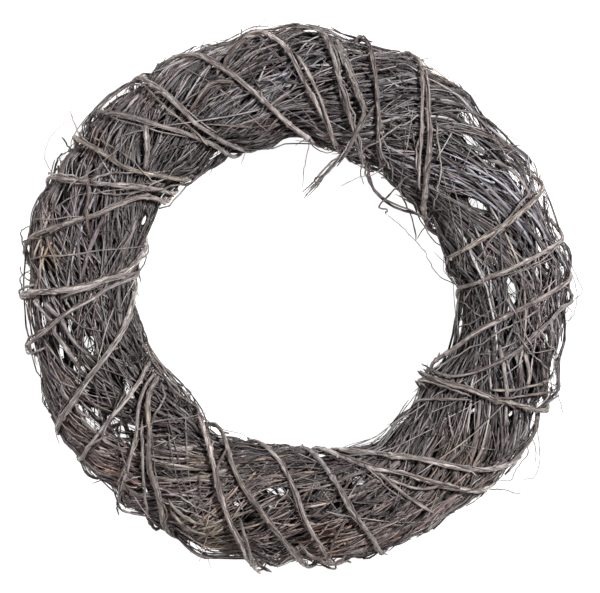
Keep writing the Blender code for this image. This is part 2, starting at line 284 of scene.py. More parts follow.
class Piece:
    # Gathers tubes until they are made into one mesh.
    def __init__(self, name):
        self.name = name
        self.points = []
        self.bark = []
        self.tone = []
        self.faces = []
        self.size = 0

    def add(self, centres, out, radii, tone, sides, dice, lumps=0.06):
        points, bark, faces = tubeParts(centres, out, radii, sides, dice, lumps)
        self.points.append(points)
        self.bark.append(bark)
        self.tone.append(np.repeat(tone[:, :, None], sides, axis=2).reshape(-1, 3))
        self.faces += [group + self.size for group in faces]
        self.size += len(points)

    def make(self, material, nodes=()):
        points = np.concatenate(self.points).astype(np.float32)
        corners = np.concatenate([group.ravel() for group in self.faces]).astype(np.int32)
        totals = np.concatenate([np.full(len(group), group.shape[1]) for group in self.faces])
        starts = np.concatenate([[0], np.cumsum(totals)[:-1]]).astype(np.int32)
        mesh = bpy.data.meshes.new(self.name)
        mesh.vertices.add(len(points))
        mesh.vertices.foreach_set("co", points.ravel())
        mesh.loops.add(len(corners))
        mesh.loops.foreach_set("vertex_index", corners)
        mesh.polygons.add(len(starts))
        mesh.polygons.foreach_set("loop_start", starts)
        tone = np.concatenate(self.tone)
        tone = tone * np.minimum(1, palestBark / np.maximum(tone.max(axis=1, keepdims=True), 1e-6))
        colour = np.concatenate([tone, np.ones((len(tone), 1))], axis=1).astype(np.float32)
        mesh.attributes.new("tone", "FLOAT_COLOR", "POINT").data.foreach_set("color", colour.ravel())
        bark = np.concatenate(self.bark).astype(np.float32)
        mesh.attributes.new("bark", "FLOAT_VECTOR", "POINT").data.foreach_set("vector", bark.ravel())
        mesh.update(calc_edges=True)
        mesh.validate()
        mesh.shade_smooth()
        mesh.materials.append(material)
        piece = bpy.data.objects.new(self.name, mesh)
        bpy.context.scene.collection.objects.link(piece)
        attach(piece, body)
        if nodes:
            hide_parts(*nodes)
        triangles = int(np.sum(totals - 2))
        print(self.name, triangles, "triangles")
        return triangles


# Twigs: handfuls laid at a slant round the ring, in layers from the deep ones to the loose ones on top.
twigs = {
    "bunches": 12,
    "seed": 7,
    "slants": [22, 25, 27, 26, 28, 21, 16, 20, 33, 28, 22, 20],   # degrees off the ring, every 30 degrees
    "slantDrift": 8,
    "handfulSpread": 11,    # degrees between the slants of handfuls, and of the twigs in one
    "twigSpread": 7,
    "handfulReach": (3.0, 9),       # degrees along the ring and round the body between twigs of a handful
    "thicknesses": (1.2, 2.0),      # more thin twigs than thick ones
    "waver": 0.22,          # millimetres
    "bowRadius": 0.1,       # metres, the bend that a stiff twig doesn't follow, and the share it rises by
    "bowShare": 0.35,
    # Depth, radius and length in millimetres and kink in degrees. Handful is the twigs in one, stiff how
    # far they keep to a straight line, and wider how far they lie clear of the partings (0: they don't).
    # Shade scales a layer's bark colour: the deeper layers are coloured darker as painted shade in the
    # body's depths, and the fine ones paler.
    "layers": {
        "core": dict(count=40, handful=6, depth=(14.0, 24.0), radius=(2.0, 3.2), length=(60, 100),
                     sides=4, stations=6, kink=1.6, stiff=0.25, shade=0.08, wider=0.7),
        "deep": dict(count=80, handful=8, depth=(7.5, 14.0), radius=(1.3, 2.2), length=(60, 110),
                     sides=4, stations=8, kink=2.0, stiff=0.25, shade=0.14, wider=0.8),
        "middle": dict(count=85, handful=8, depth=(3.6, 7.5), radius=(0.8, 1.6), length=(55, 120),
                       sides=4, stations=10, kink=2.4, stiff=0.22, shade=0.30, wider=0.95),
        "top": dict(count=158, handful=7, depth=(0.0, 3.4), radius=(0.45, 1.4), length=(45, 130),
                    sides=5, stations=12, kink=2.5, stiff=0.18, shade=1.05, wider=1.5),
        "rods": dict(count=22, handful=2, depth=(-0.2, 2.4), radius=(1.1, 2.0), length=(45, 115),
                     sides=7, stations=11, kink=1.5, stiff=0.22, shade=0.85, wider=1.6),
        "fine": dict(count=120, handful=4, depth=(-1.0, 2.4), radius=(0.30, 0.55), length=(25, 85),
                     sides=3, stations=10, kink=4.5, stiff=0.22, shade=1.7, wider=1.0),
        "threads": dict(count=85, handful=1, depth=(5, 16), radius=(0.26, 0.55), length=(30, 80),
                        sides=3, stations=6, kink=3.0, stiff=0.3, shade=0.45, wider=0),
    },
    "edgeTwigs": dict(count=26, depth=(-2.2, -0.2), radius=(0.35, 0.85), length=(15, 42), sides=4,
                      stations=8, kink=6.0, stiff=0.10, shade=0.95),
    "edgeSections": (-45, 26, 158, 225),    # where twigs lie over the canes, at the two edges
    "edgeSlant": (18, 16),  # degrees off the ring, and their spread
    "outerShare": 0.6,      # of the edge twigs
    "strays": dict(count=58, depth=(-2.8, 0.2), radius=(0.30, 0.62), length=(24, 105), sides=3,
                   stations=10, kink=3.4, stiff=0.45, shade=1.6),
    "straySlants": ((-75, -5), (15, 75)),   # degrees off the ring, for half of the strays each
    "sideTwigs": [  # side shoots, buds and raised tips
        dict(count=70, radius=(0.28, 0.60), length=(8, 28), stations=5, lean=(14, 42), rise=0.6),
        dict(count=110, radius=(0.45, 0.85), length=(1.6, 4.5), stations=3, lean=(30, 70), rise=0.6),
        dict(count=46, radius=(0.30, 0.55), length=(4, 10), stations=4, lean=(20, 50), rise=2.5),
    ],
    "sideSides": 3,
    "floorGap": 0.3,
    "tones": [  # bark colour and its share
        ((0.172, 0.150, 0.152), 0.24),
        ((0.130, 0.105, 0.103), 0.17),
        ((0.034, 0.023, 0.026), 0.34),
        ((0.160, 0.142, 0.127), 0.06),
        ((0.135, 0.097, 0.091), 0.06),
        ((0.480, 0.450, 0.441), 0.15),
    ],
    "sharedTone": 0.45,     # share of twigs with the bark of their handful
    "handfulToneSpread": 0.36,
    "toneSpread": 0.50,
    "hueSpread": 0.05,      # how much redder or bluer a handful may be
    "thinPale": (2.0, 0.75, 1.4),   # paleness at no thickness, and of the thickest and thinnest twigs
    "paintedEdgeLight": [           # painted light and shade: how much paler or darker the twigs of the inner and the outer edge are coloured, every 30 degrees
        (0.29, 1.09), (0.59, 1.33), (0.88, 0.88), (0.79, 1.07), (0.38, 0.94), (0.36, 1.78),
        (0.29, 1.85), (0.62, 1.76), (0.30, 1.60), (0.54, 1.34), (0.30, 0.95), (0.36, 1.25),
    ],
    "sideShade": 0.60,      # painted shade: how much darker the twigs of the sides and the back are coloured
    "warmth": [             # every 30 degrees
        0.98, 0.96, 0.96, 0.98, 0.97, 0.98, 0.99, 1.03, 1.08, 1.09, 1.02, 0.98,
    ],
    "bark": {
        "streakStretch": (2.6, 2.6, 0.7),
        "streakDark": (0.27, 0.25, 0.26), "streakPale": (1.78, 1.76, 1.76),
        "patchStretch": (0.9, 0.9, 0.8), "patchShare": 0.35, "patchColour": (0.44, 0.42, 0.41),
        "scarStretch": (1.6, 1.6, 1.9), "scarShare": 0.45, "scarColour": (0.52, 0.50, 0.48),
        "speckStretch": (2.0, 2.0, 5.0), "speckColour": (0.40, 0.36, 0.36),
        "ridgeStretch": (4.5, 4.5, 1.2), "ridgeStrength": 0.8, "ridgeDepth": 0.0005,
        "roughness": 0.62, "gloss": 0.4,
    },
}


def pickTones(dice, count, tones, spread):
    shares = np.array([share for _, share in tones])
    picked = dice.choice(len(tones), count, p=shares / shares.sum())
    colours = np.array([colour for colour, _ in tones])[picked]
    return colours * np.exp(dice.normal(0, spread, (count, 1)))


def localSlant(angle, section):
    slow = np.sin(np.radians(4 * angle + 2 * section + 40))
    quick = np.sin(np.radians(9 * angle - 3 * section + 200))
    return roundTable(twigs["slants"], angle) + twigs["slantDrift"] * (slow + quick)


# Where a cane is pulled tight, the twigs sink under it and swell on both sides.
cinch = {
    "sink": 1.7, "sinkReach": 6.0,      # millimetres
    "swell": 1.3, "swellReach": 13.0,
    "sectionStep": 6,
    "outerLumps": [  # millimetres that the bundle stands out at its outer edge, every 5 degrees
        -4, 0.5, 0, -5, -4.5, -1.5, 1, -3, -3.5, -5, 1, 0, -1, 3, -2.3, 0.5, -2, 3,
        4.5, 1.5, 5, -2, 1, 1.5, 1.5, -3, -4, -2.5, -1.5, -3.5, 1.5, -1.5, 1.5, 0.5, 0, -4.5,
        -1.5, -4.5, -3.5, -4.5, -1.5, 0.5, 2.5, 0.5, 3, -5, 6, -1.5, -1.5, 0, 3.5, -2, -3.5, 2,
        -5, -0.3, -2, 0.5, -0.5, 1, 2.5, -1.5, 1.5, 1, 2, 1, -0.5, -5, 4, -3.8, -3, -4,
    ],
    "innerLumps": [  # and at its inner edge
        -0.5, -4, 6, 0.5, -1.5, -2, -5.5, -0.5, -0.5, 1.5, -0.5, -1.5, -1.5, 3.5, 3, -0.5, 1.5, -1.5,
        -2, -3, 1.5, 1, 0, -6.5, -2, -0.5, 1.5, -6, -6.5, -6.5, -3.5, -2.5, -1.5, -2, -0.5, -0.5,
        -3.5, -1, -0.5, 0, -2.5, -4.5, -6.5, 0.5, -1, -1, -2, -6.5, -6.5, -2, 0, -1.5, 0.5, 1.5,
        -0.5, 0, -1, -1, -1, -3.5, -4, 0, 1.5, -3.5, -2.5, 0, -0.5, -6.5, -6.5, -5, -2, -1.5,
    ],
}


def cinchTable():
    # Height that the twigs gain or lose, for every degree round the ring and every few of the section.
    tree = KDTree(sum(len(run) for run, _ in caneRuns))
    for number, point in enumerate(np.vstack([run for run, _ in caneRuns])):
        tree.insert(point, number)
    tree.balance()
    sections = np.arange(0, 360, cinch["sectionStep"])
    points, _ = bodyPoint(np.arange(360)[:, None], sections[None, :], 0)
    far = np.array([[tree.find(point)[2] for point in row] for row in points]) / mm
    sink = cinch["sink"] * np.exp(-(far / cinch["sinkReach"]) ** 2)
    swell = cinch["swell"] * (1 - np.exp(-(far / cinch["swellReach"]) ** 2))
    edge = np.cos(np.radians(sections))
    around = np.arange(360.0)
    outer, inner = [roundTable(cinch[name], around)[:, None] for name in ("outerLumps", "innerLumps")]
    lumps = outer * np.clip(edge, 0, 1) ** 1.5 + inner * np.clip(-edge, 0, 1) ** 1.5
    return (swell - sink + lumps) * mm


def cinchHeight(angle, section):
    # The table's height between its rows and columns.
    rows, columns = cinchHeights.shape
    row = np.mod(angle, 360)
    column = np.mod(section, 360) / cinch["sectionStep"]
    firstRow = np.floor(row).astype(int)
    firstColumn = np.floor(column).astype(int)
    down = row - firstRow
    across = column - firstColumn

    def rowHeight(number):
        here, beside = [cinchHeights[number % rows, (firstColumn + k) % columns] for k in (0, 1)]
        return here * (1 - across) + beside * across

    return rowHeight(firstRow) * (1 - down) + rowHeight(firstRow + 1) * down


def twigRoutes(dice, middleAngle, middleSection, slant, length, depth, layer):
    # Routes over the twig body: slanting lines, kinked at every station and stiffer than the ring's bend.
    count = len(length)
    stations = layer["stations"]
    share = np.linspace(-0.5, 0.5, stations)[None, :]
    kinks = np.cumsum(dice.normal(0, math.radians(layer["kink"]), (count, stations)), axis=1)
    kinks -= kinks.mean(axis=1, keepdims=True)
    heading = np.radians(slant)[:, None] + kinks
    step = (length / (stations - 1))[:, None]
    sideways = np.cumsum(np.sin(heading) * step, axis=1)
    forward = np.cumsum(np.cos(heading) * step, axis=1)
    sideways -= sideways.mean(axis=1, keepdims=True)
    forward -= forward.mean(axis=1, keepdims=True)
    inner, outer = bodyRadii(middleAngle)
    middle = (inner + outer) / 2
    half = (outer - inner) / 2
    reach = (middle + half * np.cos(np.radians(middleSection)))[:, None]
    girth = ((half + ring["halfHeight"]) / 2)[:, None] - depth[:, None] * 0.5
    angle = middleAngle[:, None] + np.degrees(forward / reach)
    section = middleSection[:, None] + np.degrees(sideways / girth)
    waver = np.cumsum(dice.normal(0, 1, (count, stations)), axis=1)
    waver = (waver - waver.mean(axis=1, keepdims=True)) * twigs["waver"] * mm
    bow = layer["stiff"] * (length[:, None] ** 2) * (0.25 - share ** 2) / 2 / twigs["bowRadius"]
    height = waver + bow * twigs["bowShare"] - depth[:, None] + cinchHeight(angle, section)
    centres, out = bodyPoint(angle, section, height)
    chord = centres[:, :1] * (0.5 - share)[..., None] + centres[:, -1:] * (0.5 + share)[..., None]
    centres = centres + (chord - centres) * layer["stiff"]
    return centres, out


# One twig along its length.
twigShape = {
    "taper": (0.15, 0.5),
    "budShare": 0.16,       # share of its stations with a bud, and how much it swells there
    "budSwell": 0.28,
    "ends": (0.72, 0.6),    # thickness of its butt and its tip
    "toneDrift": 0.11,
    "darkShare": 0.12,      # dark marks and bare places, and their shade
    "darkShade": 0.55,
    "bareShare": 0.07,
    "bareShade": 1.6,
}


def twigRadii(dice, radius, stations):
    # A twig gets thinner along its length and swells a little at its buds.
    share = np.linspace(0, 1, stations)[None, :]
    taper = dice.uniform(*twigShape["taper"], (len(radius), 1))
    radii = radius[:, None] * (1 - taper * share)
    radii = radii * (1 + twigShape["budSwell"] * (dice.random(radii.shape) < twigShape["budShare"]))
    radii[:, [0, -1]] *= twigShape["ends"]
    return radii


def twigTones(dice, base, stations, shade):
    # Colour along a twig: slow changes of tone, darker at some buds and paler where the bark is off.
    count = len(base)
    drift = np.cumsum(dice.normal(0, twigShape["toneDrift"], (count, stations)), axis=1)
    drift -= drift.mean(axis=1, keepdims=True)
    chance = dice.random((count, stations))
    bare = np.where(chance > 1 - twigShape["bareShare"], twigShape["bareShade"], 1.0)
    marks = np.where(chance < twigShape["darkShare"], twigShape["darkShade"], bare)
    return base[:, None] * (np.exp(drift) * marks * shade)[..., None]


def oneTwig(piece, dice, centres, out, radiusMm, tone, sides):
    # A single twig or vine along a route of its own.
    radii = twigRadii(dice, np.array([radiusMm * mm]), len(centres))
    colour = twigTones(dice, np.array([barkTones[tone]]), len(centres), 1.0)
    piece.add(centres[None], out[None], radii, colour, sides, dice)


def handfulTwigs(dice, first, last, layer):
    count = layer["count"]
    handfuls = max(1, round(count / layer["handful"]))
    holder = np.arange(count) % handfuls
    angles = dice.uniform(first, last, handfuls)
    sections = 360 * (dice.permutation(handfuls) + dice.random(handfuls)) / handfuls
    slants = localSlant(angles, sections) + dice.normal(0, twigs["handfulSpread"], handfuls)
    alongRing, roundBody = twigs["handfulReach"]
    middleAngle = angles[holder] + dice.normal(0, alongRing, count)
    middleSection = sections[holder] + dice.normal(0, roundBody, count)
    slant = slants[holder] + dice.normal(0, twigs["twigSpread"], count)
    length = dice.uniform(*layer["length"], count) * mm
    low, high = layer["radius"]
    radius = (low + (high - low) * dice.beta(*twigs["thicknesses"], count)) * mm
    depth = dice.uniform(*layer["depth"], count) * mm + radius * 0.6
    centres, out = twigRoutes(dice, middleAngle, middleSection, slant, length, depth, layer)
    shared = pickTones(dice, handfuls, twigs["tones"], twigs["handfulToneSpread"])[holder]
    own = pickTones(dice, count, twigs["tones"], 0)
    base = np.where(dice.random((count, 1)) < twigs["sharedTone"], shared, own)
    base = base * np.exp(dice.normal(0, twigs["toneSpread"], (count, 1)))
    hue = dice.normal(0, twigs["hueSpread"], (handfuls, 1))[holder]
    base = base * np.concatenate([1 + hue, np.ones_like(hue), 1 - hue], axis=1)
    warm = roundTable(twigs["warmth"], middleAngle)[:, None]
    # Painted light and shade: the twigs of the inner and the outer edge are coloured paler or darker
    # round the ring.
    outward = (1 + np.cos(np.radians(middleSection))) / 2
    paintedEdgeLight = roundTable(twigs["paintedEdgeLight"], middleAngle)
    edge = (paintedEdgeLight[:, 0] * (1 - outward) + paintedEdgeLight[:, 1] * outward)[:, None]
    # Painted shade: twigs of the sides and the back are coloured darker than those on top.
    upper = np.clip(np.sin(np.radians(middleSection)) / 0.4, 0, 1)[:, None]
    edge = edge * (twigs["sideShade"] + (1 - twigs["sideShade"]) * upper)
    tint = np.concatenate([warm, np.ones_like(warm), 1 / warm], axis=1)
    full, least, most = twigs["thinPale"]
    thin = np.clip(full - radius / mm, least, most)[:, None]
    return centres, out, radius, base * edge * tint * thin


def looseTwigs(dice, first, last, name):
    # Strays cross the others at any slant, and edge twigs lie over the canes along the two edges.
    layer = twigs[name]
    count = layer["count"]
    angle = dice.uniform(first, last, count)
    if name == "strays":
        section = dice.uniform(0, 360, count)
        backward, forward = twigs["straySlants"]
        slant = np.where(dice.random(count) < 0.5,
                         dice.uniform(*backward, count), dice.uniform(*forward, count))
    else:
        low, high, innerLow, innerHigh = twigs["edgeSections"]
        section = np.where(dice.random(count) < twigs["outerShare"], dice.uniform(low, high, count),
                           dice.uniform(innerLow, innerHigh, count))
        slant = dice.normal(*twigs["edgeSlant"], count)
    length = dice.uniform(*layer["length"], count) * mm
    radius = dice.uniform(*layer["radius"], count) * mm
    depth = dice.uniform(*layer["depth"], count) * mm
    centres, out = twigRoutes(dice, angle, section, slant, length, depth, layer)
    # Painted shade: strays and edge twigs on the sides and the back are coloured darker.
    shade = np.where(np.sin(np.radians(section)) < 0.4, twigs["sideShade"], 1.0)[:, None]
    return centres, out, radius, shade * pickTones(dice, count, twigs["tones"], twigs["toneSpread"])


def forkTwigs(dice, centres, out, base, layer):
    # Side twigs and buds that leave a parent and point along it and a little away.
    count = layer["count"]
    parent = dice.integers(0, len(centres), count)
    station = dice.integers(2, centres.shape[1] - 2, count)
    root = centres[parent, station]
    along = unit(centres[parent, station + 1] - centres[parent, station - 1])
    along *= dice.choice([-1, 1], (count, 1))
    outward = out[parent, station]
    across = np.cross(along, outward)
    lean = np.radians(dice.uniform(*layer["lean"], count))[:, None]
    roll = dice.uniform(-0.6, 0.35, count)[:, None] + (dice.random((count, 1)) < 0.5) * math.pi
    away = unit(across * np.cos(roll) + outward * (np.abs(np.sin(roll)) + 0.3) * layer["rise"])
    way = unit(along * np.cos(lean) + away * np.sin(lean))
    length = dice.uniform(*layer["length"], count) * mm
    share = np.linspace(0, 1, layer["stations"])[None, :, None]
    curl = away[:, None] * (share ** 2) * (length * dice.uniform(-0.35, 0.1, count))[:, None, None]
    routes = root[:, None] + way[:, None] * share * length[:, None, None] + curl
    outs = np.broadcast_to(outward[:, None], routes.shape)
    radius = dice.uniform(*layer["radius"], count) * mm
    return routes, outs, radius, base[parent] * 1.15


# Partings: slits where the floor shows between the twigs, which lie clear of them.
partings = {
    "through": 0.34,        # share of the thin twigs that may cross one
    "throughRadius": 0.45,  # millimetres
    "furthest": 5.5,        # millimetres that a twig is slid; one that still crosses is left out
    "passes": 6,
    "margin": 0.1,          # millimetres between a twig and a parting
    "places": [  # x and y in millimetres from the ring's middle, length, width, direction in degrees
        (121, 128, 11.8, 2.5, -37), (126, 129, 8.4, 1.6, -38), (127, 111, 10.1, 2.8, -43),
        (122, 113, 8.4, 2.1, -59), (132, 66, 8.4, 3.3, -29), (125, 69, 4.2, 2.8, 77),
        (131, 61, 6.7, 1.5, -30), (155, 87, 8.4, 3, -47), (151, 96, 4.2, 2.2, -86),
        (155, 92, 4.2, 2.2, -70), (134, 102, 4.2, 2.2, -30), (134, 99, 5.9, 1.3, -38),
        (140, 97, 4.2, 1.3, -64), (162, 78, 3.4, 2.1, 90), (165, 88, 4.2, 1.5, -61),
        (170, 87, 12.6, 2.7, -69), (175, 69, 9.2, 1.8, -69), (105, 161, 8, 1.2, -18),
        (153, 9, 7.6, 1.9, -62), (153, 5, 5, 1.3, -65), (155, -1, 4.2, 1.3, -29),
        (172, 18, 4.2, 2.1, -83), (179, 20, 4.2, 1.9, -57), (190, 20, 6.7, 1.8, -78),
        (192, 32, 8.4, 1.5, -54), (174, 34, 4.2, 1.5, -69), (173, 47, 4.2, 1.3, -61),
        (178, -31, 5, 1.5, -65), (183, -51, 5, 1.9, 75), (183, -61, 10.1, 4.4, 76),
        (175, -75, 6.7, 1.5, 70), (169, -90, 6.7, 1.5, 68), (153, -84, 4.2, 1.6, 51),
        (126, -82, 3.4, 1.5, 72), (117, -20, 5.9, 1.6, 80), (-152, -33, 6.7, 2.7, -83),
        (-148, -31, 5.9, 1.6, -75), (-170, -40, 5, 2.5, -72), (-164, -19, 5, 2.1, -80),
        (-183, -19, 5, 1.8, -80), (-184, -10, 4.2, 1.3, -66), (-121, -66, 6.7, 2.4, -65),
        (-123, -70, 5, 1.3, -51), (-157, -81, 6.7, 2.1, -86), (-136, -87, 5, 1.8, 86),
        (-133, -92, 4.2, 2.1, -59), (-145, -83, 4.2, 1.9, -75), (-144, -93, 5, 1.8, -72),
        (-148, -95, 4.2, 1.5, -60), (-151, -89, 5, 1.3, -70), (-130, -90, 4.2, 1.6, -84),
        (-126, -95, 3.4, 1.6, -72), (-124, -100, 4.2, 1.5, -24), (-118, -93, 4.2, 1.3, -35),
        (-160, -51, 4.2, 1.4, -75), (-155, -51, 3.4, 1.5, -77), (-110, -139, 4.2, 1.3, -69),
        (-13, -138, 3, 1.6, 10), (-17, -141, 2.6, 1.2, -40), (-21, -139, 2.4, 1.2, 60),
        (-10, -142, 2.4, 1.2, -30), (43, -130, 3, 1.6, 20), (45, -134, 2.4, 1.2, -40),
        (40, -133, 2.2, 1.2, 30), (-44, -149, 4.2, 1.5, -18), (-73, -179, 9.2, 2.4, -14),
        (-60, -183, 5.9, 1.3, -14), (75, -89, 5, 1.6, 40), (63, -97, 4.2, 1.3, 42),
        (15, -114, 6.7, 1.2, -6), (-58, 103, 9.2, 2.2, 29), (-61, 98, 7.6, 1.9, 36),
        (-90, 170, 5.9, 1.5, 28), (-74, 178, 7.6, 1.5, 22), (-132, 145, 6.7, 1.5, 40),
        (-136, 140, 5, 1.4, 42), (-124, 150, 5, 1.4, 38), (46, 184, 5, 1.8, -20), (8, 192, 5, 1.3, -6),
        (57, 92, 5, 1.5, -30), (41, 107, 4.2, 1.5, -27), (-2, 114, 5, 1.2, 0), (-195, 35, 6.7, 2.2, -80),
        (-169, 101, 5, 1.9, 52), (-111, 55, 5.9, 1.6, 68),
    ],
}


def partingAxes(parting, height):
    x, y, length, width, direction = parting
    middle = underEye(np.array(ring["centre"]) + np.array([x, y]) * mm, height)
    way = math.radians(direction)
    axes = np.array([[math.cos(way), -math.sin(way)], [math.sin(way), math.cos(way)]])
    return middle, axes, np.array([length, width]) * mm / 2


# Patches of redder, yellower or bluer bark.
stains = [  # x and y in millimetres from the ring's middle, reach, and how red, green and blue change
    (-177, 30, 8, (1.35, 1.14, 0.75)), (19, -175, 17, (1.12, 1.00, 0.84)),
    (102, 158, 10, (1.25, 1.05, 0.85)), (-53, -171, 17, (1.12, 1.10, 0.82)),
    (-148, -45, 7, (1.00, 1.14, 0.76)), (-107, 142, 11, (1.15, 0.98, 0.90)),
    (-124, -121, 18, (1.10, 0.98, 0.90)), (-70, -120, 9, (1.14, 1.02, 0.84)),
    (-20, 122, 11, (1.08, 0.97, 0.92)), (-9, 160, 15, (0.94, 0.96, 1.05)),
    (160, 75, 24, (0.96, 0.97, 1.04)), (150, -60, 20, (0.96, 0.98, 1.04)),
    (-150, 60, 20, (0.98, 0.95, 1.04)), (112, -118, 24, (1.10, 1.02, 0.90)),
    (60, 140, 22, (0.98, 0.98, 1.02)),
]


def stained(centres, tone):
    for x, y, reach, change in stains:
        far = np.linalg.norm(centres[..., :2] - np.array(ring["centre"]) - np.array([x, y]) * mm, axis=-1)
        share = np.exp(-(far / (reach * mm)) ** 2)[..., None]
        tone = tone * (1 + (np.array(change) - 1) * share)
    return tone


def slideOff(centres, thick, parting, wider):
    # The way that each twig has to be slid to lie clear of a parting, along the camera's line of sight.
    middle, axes, size = partingAxes(parting, centres[..., 2:3])
    place = (centres[..., :2] - middle) @ axes
    step = place[:, 1:] - place[:, :-1]
    share = -np.sum(place[:, :-1] * step, axis=-1) / np.maximum(np.sum(step ** 2, axis=-1), 1e-12)
    inner = np.clip(share, 0, 1)
    close = place[:, :-1] + step * inner[..., None]
    twig = np.arange(len(centres))
    nearest = np.argmin(np.linalg.norm(close, axis=-1), axis=1)
    close = close[twig, nearest]
    along = unit(step[twig, nearest])
    normal = np.stack([-along[:, 1], along[:, 0]], axis=-1)
    off = np.sum(close * normal, axis=-1)
    fuller = size * wider + (thick + partings["margin"] * mm)[:, None]
    short = np.linalg.norm(normal * fuller, axis=-1) - np.abs(off)
    beside = share[twig, nearest] == inner[twig, nearest]
    within = np.linalg.norm(close / fuller, axis=-1) < 1
    short = np.where((beside | within) & (short > 0), short, 0)
    return (normal * (np.where(off < 0, -1, 1) * short)[:, None]) @ axes.T


def clearPartings(dice, centres, radii, wider):
    # Slides whole twigs sideways off the partings, and says which ones stay.
    if wider == 0:
        return np.ones(len(centres), bool)
    thick = radii.max(axis=1)
    through = (thick < partings["throughRadius"] * mm) & (dice.random(len(centres)) < partings["through"])
    places = centres[..., :2].reshape(-1, 2) - np.array(ring["centre"])
    low = places.min(axis=0) / mm - 12
    high = places.max(axis=0) / mm + 12
    near = [place for place in partings["places"] if np.all(place[:2] > low) and np.all(place[:2] < high)]
    start = centres[:, 0, :2].copy()
    crossing = np.zeros(len(centres), bool)
    for _ in range(partings["passes"]):
        crossing[:] = False
        for parting in near:
            slide = slideOff(centres, thick, parting, wider)
            slide[through] = 0
            crossing |= np.linalg.norm(slide, axis=1) > 0.1 * mm
            centres[..., :2] += slide[:, None]
    moved = np.linalg.norm(centres[:, 0, :2] - start, axis=1)
    return ~crossing & (moved < partings["furthest"] * mm)


def layTwigs(piece, dice, centres, out, radii, tone, sides, wider=1.0):
    # Adds twigs to a piece, clear of the partings and of the floor.
    centres = centres.copy()
    stays = clearPartings(dice, centres, radii, wider)
    lowest = radii.max(axis=1)[:, None] + twigs["floorGap"] * mm
    centres[..., 2] = np.maximum(centres[..., 2], lowest)
    piece.add(centres[stays], out[stays], radii[stays], stained(centres, tone)[stays], sides, dice)


def makeTwigs(material):
    total = 0
    span = 360 / twigs["bunches"]
    for number in range(twigs["bunches"]):
        dice = np.random.default_rng(twigs["seed"] + number)
        first = number * span
        piece = Piece("twigs_%02d" % (number + 1))
        for name, layer in twigs["layers"].items():
            centres, out, radius, base = handfulTwigs(dice, first, first + span, layer)
            radii = twigRadii(dice, radius, layer["stations"])
            # The layer's shade colours the deeper twigs darker, as painted shade.
            tone = twigTones(dice, base, layer["stations"], layer["shade"])
            layTwigs(piece, dice, centres, out, radii, tone, layer["sides"], layer["wider"])
            if name == "top":
                for small in twigs["sideTwigs"]:
                    routes, outs, thin, forkBase = forkTwigs(dice, centres, out, base, small)
                    layTwigs(piece, dice, routes, outs, twigRadii(dice, thin, small["stations"]),
                             twigTones(dice, forkBase, small["stations"], 1.0), twigs["sideSides"])
        for name in ("edgeTwigs", "strays"):
            centres, out, radius, base = looseTwigs(dice, first, first + span, name)
            layer = twigs[name]
            layTwigs(piece, dice, centres, out, twigRadii(dice, radius, layer["stations"]),
                     twigTones(dice, base, layer["stations"], layer["shade"]), layer["sides"])
        total += piece.make(material, ["twig_bunch_%02d" % (number + 1)])
    return total


